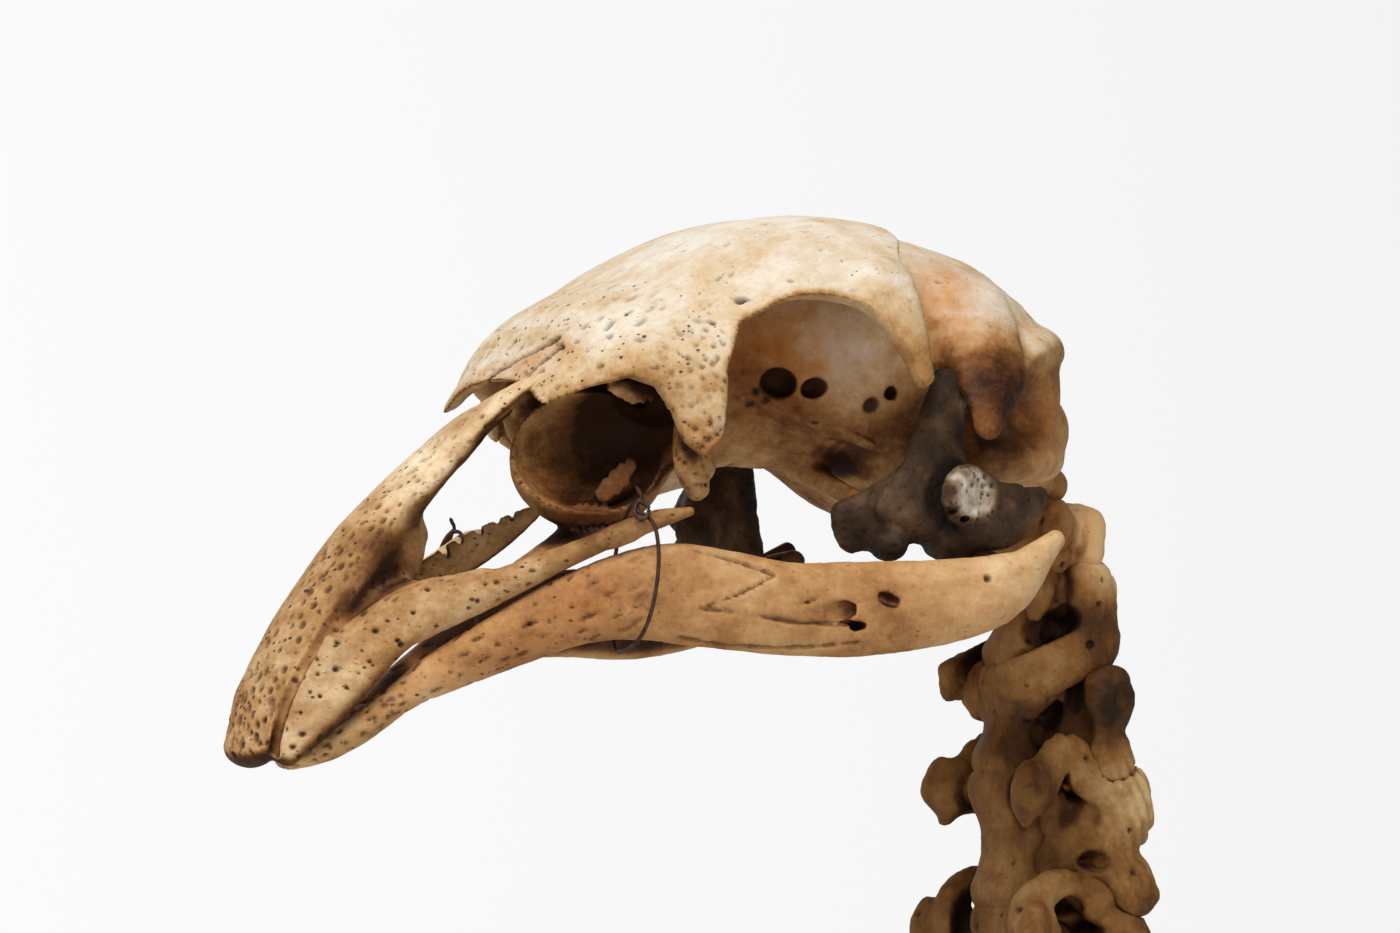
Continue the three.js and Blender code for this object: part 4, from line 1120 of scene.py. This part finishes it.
def tube(name, line, radius, material, node):
    """A round wire along a smooth line, closed at both ends by a pinched ring."""
    rows = smoothed([[*at, radius, radius] for at in line], 0.7)
    centre = rows[:, :3]
    along = np.gradient(centre, axis=0)
    along /= np.linalg.norm(along, axis=1)[:, None]
    side = np.cross(along, [0.3, 0.5, 0.81])
    side /= np.linalg.norm(side, axis=1)[:, None]
    up = np.cross(along, side)
    width = np.full(len(centre), radius)
    width[[0, -1]] = radius * 0.05
    turn = np.arange(WIRE_SIDES) * 2 * np.pi / WIRE_SIDES
    ring = np.cos(turn)[:, None, None] * side + np.sin(turn)[:, None, None] * up
    points = (centre + ring * width[:, None]).transpose(1, 0, 2).reshape(-1, 3)
    i, j = np.meshgrid(np.arange(len(centre) - 1), np.arange(WIRE_SIDES), indexing="ij")
    k = (j + 1) % WIRE_SIDES
    ring_a, ring_b = i * WIRE_SIDES, (i + 1) * WIRE_SIDES
    quads = np.stack([ring_a + j, ring_a + k, ring_b + k, ring_b + j], -1)
    mesh_object(name, points, quads.reshape(-1, 4), material, node)


# ---- materials ----


class Nodes:
    """A small helper for writing a material's node tree."""

    def __init__(self, name):
        self.material = bpy.data.materials.new(name)
        self.material.use_nodes = True
        self.tree = self.material.node_tree
        self.shader = self.tree.nodes["Principled BSDF"]
        self.place = self.new("ShaderNodeTexCoord").outputs["Object"]

    def new(self, kind, **settings):
        """A node of this kind with its settings."""
        node = self.tree.nodes.new(kind)
        for key, value in settings.items():
            setattr(node, key, value)
        return node

    def set(self, socket, value):
        """Link a socket, or give it a plain value."""
        if isinstance(value, bpy.types.NodeSocket):
            self.tree.links.new(value, socket)
        else:
            socket.default_value = value

    def stretched(self, scale, turn=(0, 0, 0)):
        """The place on the object, turned and scaled, so that a pattern runs along a grain."""
        node = self.new("ShaderNodeMapping")
        self.set(node.inputs["Vector"], self.place)
        node.inputs["Scale"].default_value = scale
        node.inputs["Rotation"].default_value = turn
        return node.outputs["Vector"]

    def noise(self, size, detail=4.0, rough=0.55, vector=None):
        """Noise about size millimetres across, 0 to 1."""
        node = self.new("ShaderNodeTexNoise")
        self.set(node.inputs["Vector"], vector or self.place)
        node.inputs["Scale"].default_value = 1000 / size
        node.inputs["Detail"].default_value = detail
        node.inputs["Roughness"].default_value = rough
        return node.outputs["Fac"]

    def cells(self, size, vector=None):
        """Distance to the nearest of points scattered size millimetres apart, and its own number."""
        node = self.new("ShaderNodeTexVoronoi")
        self.set(node.inputs["Vector"], vector or self.place)
        node.inputs["Scale"].default_value = 1000 / size
        return node.outputs["Distance"], node.outputs["Color"]

    def math(self, operation, a, b=0.0, c=0.0):
        node = self.new("ShaderNodeMath", operation=operation)
        for socket, value in zip(node.inputs, (a, b, c)):
            self.set(socket, value)
        return node.outputs[0]

    def fit(self, value, low, high, to_low=0.0, to_high=1.0):
        """The value moved from one range to another, and kept inside it."""
        node = self.new("ShaderNodeMapRange")
        for socket, v in zip(node.inputs, (value, low, high, to_low, to_high)):
            self.set(socket, v)
        return node.outputs[0]

    def attribute(self, name):
        """A number that the mesh carries at each point."""
        return self.new("ShaderNodeAttribute", attribute_name=name).outputs["Fac"]

    def colours(self, value, stops):
        """A colour ramp through (position, 0xRRGGBB)."""
        node = self.new("ShaderNodeValToRGB")
        elements = node.color_ramp.elements
        while len(elements) < len(stops):
            elements.new(0.5)
        for element, (at, colour) in zip(elements, stops):
            element.position = at
            element.color = (*linear(colour), 1)
        self.set(node.inputs["Fac"], value)
        return node.outputs["Color"]

    def mix(self, share, a, b, how="MIX"):
        """Colours a and b mixed by share."""
        node = self.new("ShaderNodeMix", data_type="RGBA", blend_type=how)
        self.set(node.inputs["Factor"], share)
        for socket, value in ((node.inputs["A"], a), (node.inputs["B"], b)):
            named = [s for s in node.inputs if s.name == socket.name and s.type == "RGBA"][0]
            self.set(named, value)
        return [s for s in node.outputs if s.type == "RGBA"][0]

    def bump(self, height, strength, distance):
        """Fine relief; distance in millimetres."""
        node = self.new("ShaderNodeBump")
        self.set(node.inputs["Height"], height)
        node.inputs["Strength"].default_value = strength
        node.inputs["Distance"].default_value = distance * MM
        self.tree.links.new(node.outputs["Normal"], self.shader.inputs["Normal"])


def linear(colour):
    """An sRGB colour written as 0xRRGGBB, as linear light."""
    channels = [((colour >> shift) & 255) / 255 for shift in (16, 8, 0)]
    return [c / 12.92 if c <= 0.04045 else ((c + 0.055) / 1.055) ** 2.4 for c in channels]


SPECK_SPACING, PORE_SPACING = 0.9, 1.2  # millimetres
PORE_WIDEST = 0.5  # radius of the widest pore, in spacings
MIDDLE_TONE = 0.52  # where plain bone lies on its colour ramp


def bone_material(name, stops, stain, hollow, grain=(1, 1, 1), turn=(0, 0, 0), specks=0.5):
    """Old bone: broad mottling, streaks along the grain, fine pores, and crevices darkened and tinted amber
    as painted shade; hollow is the painted shade colour of pits and pores.
    """
    n = Nodes(name)
    crevice_shade, pit, tone_and_shading, warm = (n.attribute(key) for key in ("crevice_shade", "pit", "tone_and_shading", "warm"))
    streaked = n.stretched(grain, turn)
    broad, middling, fine = n.noise(34, 5, 0.6), n.noise(7, 5, 0.62), n.noise(1.1, 5, 0.6)
    streaks = n.noise(3.2, 4, 0.6, streaked)
    level = n.math("ADD", n.math("MULTIPLY_ADD", n.math("SUBTRACT", broad, 0.5), 0.85, MIDDLE_TONE), tone_and_shading)
    for value, weight in ((middling, 0.5), (streaks, 0.34), (fine, 0.22)):
        level = n.math("MULTIPLY_ADD", n.math("SUBTRACT", value, 0.5), weight, level)
    # Painted shade: darker where the surface is enclosed.
    level = n.math("SUBTRACT", level, n.math("MULTIPLY", n.math("POWER", crevice_shade, 1.4), 0.62))
    colour = n.colours(level, stops)
    patchy = n.math("MULTIPLY", warm, n.fit(n.noise(5, 4), 0.3, 0.7, 0.45, 1.0))
    # Painted shade tint in crevices, added on top of the real amber stain.
    crevice_shade_tint = n.math("MULTIPLY", n.fit(crevice_shade, 0.35, 0.8), 0.45)
    amber = n.math("MINIMUM", n.math("ADD", patchy, crevice_shade_tint), 0.9)
    colour = n.mix(amber, colour, (*linear(stain), 1), "MULTIPLY")
    pores = n.fit(n.cells(SPECK_SPACING, n.stretched(grain, turn))[0], 0.0, 0.22, 1.0, 0.0)
    where = n.fit(n.noise(12, 3), 0.45, 0.62)
    speck = n.math("MULTIPLY", n.math("MULTIPLY", pores, where), specks)
    away, own = n.cells(PORE_SPACING, n.stretched([0.4 + 0.6 * g for g in grain], turn))
    own_width = n.math("MULTIPLY", n.math("POWER", own, 2.0), PORE_WIDEST)
    width = n.math("MULTIPLY", own_width, n.attribute("pores"))
    width = n.math("MULTIPLY", width, n.fit(n.noise(4, 3), 0.35, 0.65, 0.35, 1.0))
    inside = n.fit(n.math("SUBTRACT", width, away), -0.06, 0.06)
    holes = n.math("MULTIPLY", inside, n.fit(own, 0.2, 0.9, 0.45, 1.0))
    # Specks, pores and pits darkened towards the hollow colour: painted shade in these small hollows, along
    # with dark flecks of the bone's own.
    deep = n.math("MULTIPLY", n.math("MAXIMUM", pit, holes), 0.9)
    specks_and_pit_shade = n.math("MINIMUM", n.math("ADD", speck, deep), 1.0)
    colour = n.mix(specks_and_pit_shade, colour, (*linear(hollow), 1))
    n.set(n.shader.inputs["Base Color"], colour)
    n.set(n.shader.inputs["Roughness"], n.fit(middling, 0.3, 0.7, 0.6, 0.8))
    n.shader.inputs["Specular IOR Level"].default_value = 0.22
    height = n.math("MULTIPLY_ADD", fine, 0.7, n.math("MULTIPLY", streaks, 0.6))
    for hollow_part, depth in ((speck, 0.8), (holes, 1.4)):
        height = n.math("SUBTRACT", height, n.math("MULTIPLY", hollow_part, depth))
    n.bump(height, 0.6, 0.4)
    return n.material


def wire_material():
    """Soft iron wire, rusted brown."""
    n = Nodes("rusty wire")
    rust = n.noise(1.5, 4)
    browns = [(0.3, 0x2A1C18), (0.55, 0x4B3025), (0.75, 0x6B4A38)]
    n.set(n.shader.inputs["Base Color"], n.colours(rust, browns))
    n.shader.inputs["Metallic"].default_value = 0.55
    n.set(n.shader.inputs["Roughness"], n.fit(rust, 0.3, 0.7, 0.4, 0.75))
    n.bump(n.noise(0.5, 3), 0.4, 0.1)
    return n.material


def wood_material():
    """Dark varnished wood, with its grain along X."""
    n = Nodes("dark wood")
    grain = n.noise(9, 6, 0.6, n.stretched((0.12, 1, 1)))
    fine = n.noise(1.4, 4, 0.6, n.stretched((0.06, 1, 1)))
    level = n.math("MULTIPLY_ADD", fine, 0.35, n.math("MULTIPLY", grain, 0.75))
    browns = [(0.35, 0x1D120C), (0.55, 0x3A2416), (0.72, 0x583920)]
    n.set(n.shader.inputs["Base Color"], n.colours(level, browns))
    n.set(n.shader.inputs["Roughness"], n.fit(fine, 0.3, 0.7, 0.3, 0.45))
    n.bump(level, 0.15, 0.3)
    return n.material


def steel_material():
    """Steel brushed along Z."""
    n = Nodes("brushed steel")
    brushed = n.noise(2, 4, 0.6, n.stretched((1, 1, 0.04)))
    n.set(n.shader.inputs["Base Color"], n.colours(brushed, [(0.3, 0x77787A), (0.7, 0xA9AAAC)]))
    n.shader.inputs["Metallic"].default_value = 1.0
    n.set(n.shader.inputs["Roughness"], n.fit(brushed, 0.3, 0.7, 0.28, 0.42))
    n.bump(brushed, 0.08, 0.1)
    return n.material


BONE = [(0.05, 0x381E0B), (0.28, 0x7B4F26), (0.48, 0xB58853), (0.68, 0xD4B78F), (0.95, 0xE8DFCF)]
BILL = [(0.05, 0x381F0C), (0.28, 0x764D27), (0.5, 0xAD814F), (0.72, 0xD6B488), (0.95, 0xF0DDBB)]
JAW = [(0.05, 0x3A2212), (0.28, 0x7A4E2C), (0.5, 0xB4824F), (0.72, 0xD0A673), (0.95, 0xE8CDA0)]
GREY = [(0.05, 0x20140C), (0.3, 0x412D1C), (0.52, 0x644B35), (0.75, 0x917C64), (0.98, 0xD8CDBC)]
NECK_BROWN = [(0.05, 0x281406), (0.28, 0x5E3A19), (0.5, 0x8F6232), (0.72, 0xB38A58), (0.95, 0xDDBB87)]
SLANT = (0, math.radians(50), 0)
# Each bone's second colour is its amber stain, which also tints crevices as painted shade; the third is the
# painted shade colour of its pits and pores.
cranium_bone = bone_material("cranium bone", BONE, 0xE2A65E, 0x2A170B, (0.5, 1, 1))
bill_bone = bone_material("bill bone", BILL, 0xE4AC68, 0x2C190C, (0.3, 1, 1), SLANT, 0.8)
jaw_bone = bone_material("jaw bone", JAW, 0xE4A55C, 0x2A170B, (0.22, 1, 1), (0, math.radians(22), 0), 0.8)
quadrate_bone = bone_material("quadrate bone", GREY, 0xC9A37B, 0x140D09, (1, 1, 0.5))
neck_bone = bone_material("neck bone", NECK_BROWN, 0xDC9A4E, 0x1D1008, (1, 1, 0.4), specks=0.3)
wire = wire_material()

build("cranium_bone", make_cranium(), 0.65, cranium_bone, "cranium", cranium_skin)
build("bowl_splinters", make_splinters(), 0.3, cranium_bone, "cranium", cranium_skin)
build("upper_bill_bone", make_upper_bill(), 0.37, bill_bone, "upper_bill", bill_skin)
build("mandible_bone", make_jaw(), 0.5, jaw_bone, "mandible", jaw_skin)
for side, cell in (("left", 0.45), ("right", 0.6)):
    node = "quadrate_" + side
    shape = make_quadrate(side == "left")
    build(node + "_bone", shape, cell, quadrate_bone, node, quadrate_skin, side == "right")
above = Lump((-1, 0, -2), (5.4, 5.4, 4.9))
for name, shape in NECK.items():
    build(name + "_bone", make_vertebra(shape, above), 0.6, neck_bone, name, vertebra_skin)
    above = arms_of(shape, 0.4) if shape["arms"] else above

WIRE_SIDES = 10
WIRE = 0.42  # radius
FAR_WIRE_DROP, FAR_WIRE_LONGER = 4.2, 2.6
NEAR_LOOP = [
    [-130.9, -36.6, -9.2], [-131.2, -37.6, -11.4], [-130.4, -39.4, -12.2], [-129.2, -41, -15],
    [-129.3, -42.3, -21.3], [-130.6, -42.9, -28.3], [-131.7, -42.2, -33.3], [-132.6, -40.2, -36.9],
    [-133, -36.4, -39], [-132, -30.6, -39.2], [-131, -27.6, -34], [-130.6, -27.2, -24],
    [-130.4, -29.5, -15], [-130.4, -33.6, -10.2], [-130.6, -37, -9.4], [-130, -39.6, -10.6],
    [-131.3, -40.4, -12.8], [-132.4, -38.8, -12.4], [-131.8, -37.4, -10.2], [-130.2, -37.2, -8.6],
    [-130.8, -37.2, -7.2], [-131.4, -37, -6.2],
]
tube("wire_near", NEAR_LOOP, WIRE, wire, "wire_left")
far_loop = [[x, -y, z - FAR_WIRE_DROP - FAR_WIRE_LONGER * (z < -14)] for x, y, z in NEAR_LOOP]
tube("wire_far", far_loop, WIRE, wire, "wire_right")

STAND_LOOKS = {"stand_base": wood_material(), "stand_rod": steel_material()}
for node, look in STAND_LOOKS.items():
    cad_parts[node].material_slots[0].material = look

# ---- light, floor and camera ----

n = Nodes("pale floor")
n.set(n.shader.inputs["Base Color"], n.colours(n.noise(60, 3), [(0.3, 0xE6E5E3), (0.7, 0xEFEEEC)]))
n.set(n.shader.inputs["Roughness"], n.fit(n.noise(25, 3), 0.3, 0.7, 0.55, 0.7))
FLOOR = 1.1  # half its side, in metres
stage = bpy.data.meshes.new("floor")
floor_corners = [(-FLOOR, -FLOOR, 0), (FLOOR, -FLOOR, 0), (FLOOR, FLOOR, 0), (-FLOOR, FLOOR, 0)]
stage.from_pydata(floor_corners, [], [(0, 1, 2, 3)])
stage.materials.append(n.material)
floor = bpy.data.objects.new("floor", stage)
bpy.context.collection.objects.link(floor)

azimuth, elevation, distance = math.radians(33), math.radians(-2.5), 1.1
level = math.cos(elevation)
back = Vector((-math.sin(azimuth) * level, -math.cos(azimuth) * level, math.sin(elevation)))
target = Vector((-0.030, 0, 0.212))

BACKDROP = [(0.35, 0.16), (0.83, 0.89), (0.96, 0.965)]  # a white backdrop behind, a dim room in front
BACKDROP_TURN = 0.42  # its middle lies this much to the left of straight behind
world = bpy.data.worlds.new("studio")
world.use_nodes = True
tree = world.node_tree
place = tree.nodes.new("ShaderNodeTexCoord")
facing = tree.nodes.new("ShaderNodeVectorMath")
facing.operation = "DOT_PRODUCT"
tree.links.new(place.outputs["Generated"], facing.inputs[0])
white_way = azimuth - BACKDROP_TURN
facing.inputs[1].default_value = (math.sin(white_way), math.cos(white_way), 0)
shade = tree.nodes.new("ShaderNodeValToRGB")
shade.color_ramp.elements.new(0.5)
for element, (at, grey) in zip(shade.color_ramp.elements, BACKDROP):
    element.position, element.color = at, (grey, grey, grey, 1)
tree.links.new(facing.outputs["Value"], shade.inputs["Fac"])
tree.links.new(shade.outputs["Color"], tree.nodes["Background"].inputs["Color"])
bpy.context.scene.world = world


def lamp(name, at, size, watts):
    """A square area light that faces the skull."""
    data = bpy.data.lights.new(name, "AREA")
    data.size, data.energy = size, watts
    made = bpy.data.objects.new(name, data)
    made.location = at
    made.rotation_euler = (Vector(at) - target).to_track_quat("Z", "Y").to_euler()
    bpy.context.collection.objects.link(made)


lamp("key", at=(-0.75, -0.6, 1.35), size=0.8, watts=22)
lamp("fill", at=(0.2, -1.5, 0.5), size=1.0, watts=3)

LENS = 134.05  # millimetres, on Blender's 36 mm sensor
camera_data = bpy.data.cameras.new("camera")
camera_data.lens = LENS
camera = bpy.data.objects.new("camera", camera_data)
bpy.context.collection.objects.link(camera)
camera.location = target + back * distance
camera.rotation_euler = back.to_track_quat("Z", "Y").to_euler()
bpy.context.scene.camera = camera
bpy.context.scene.view_settings.view_transform = "Standard"
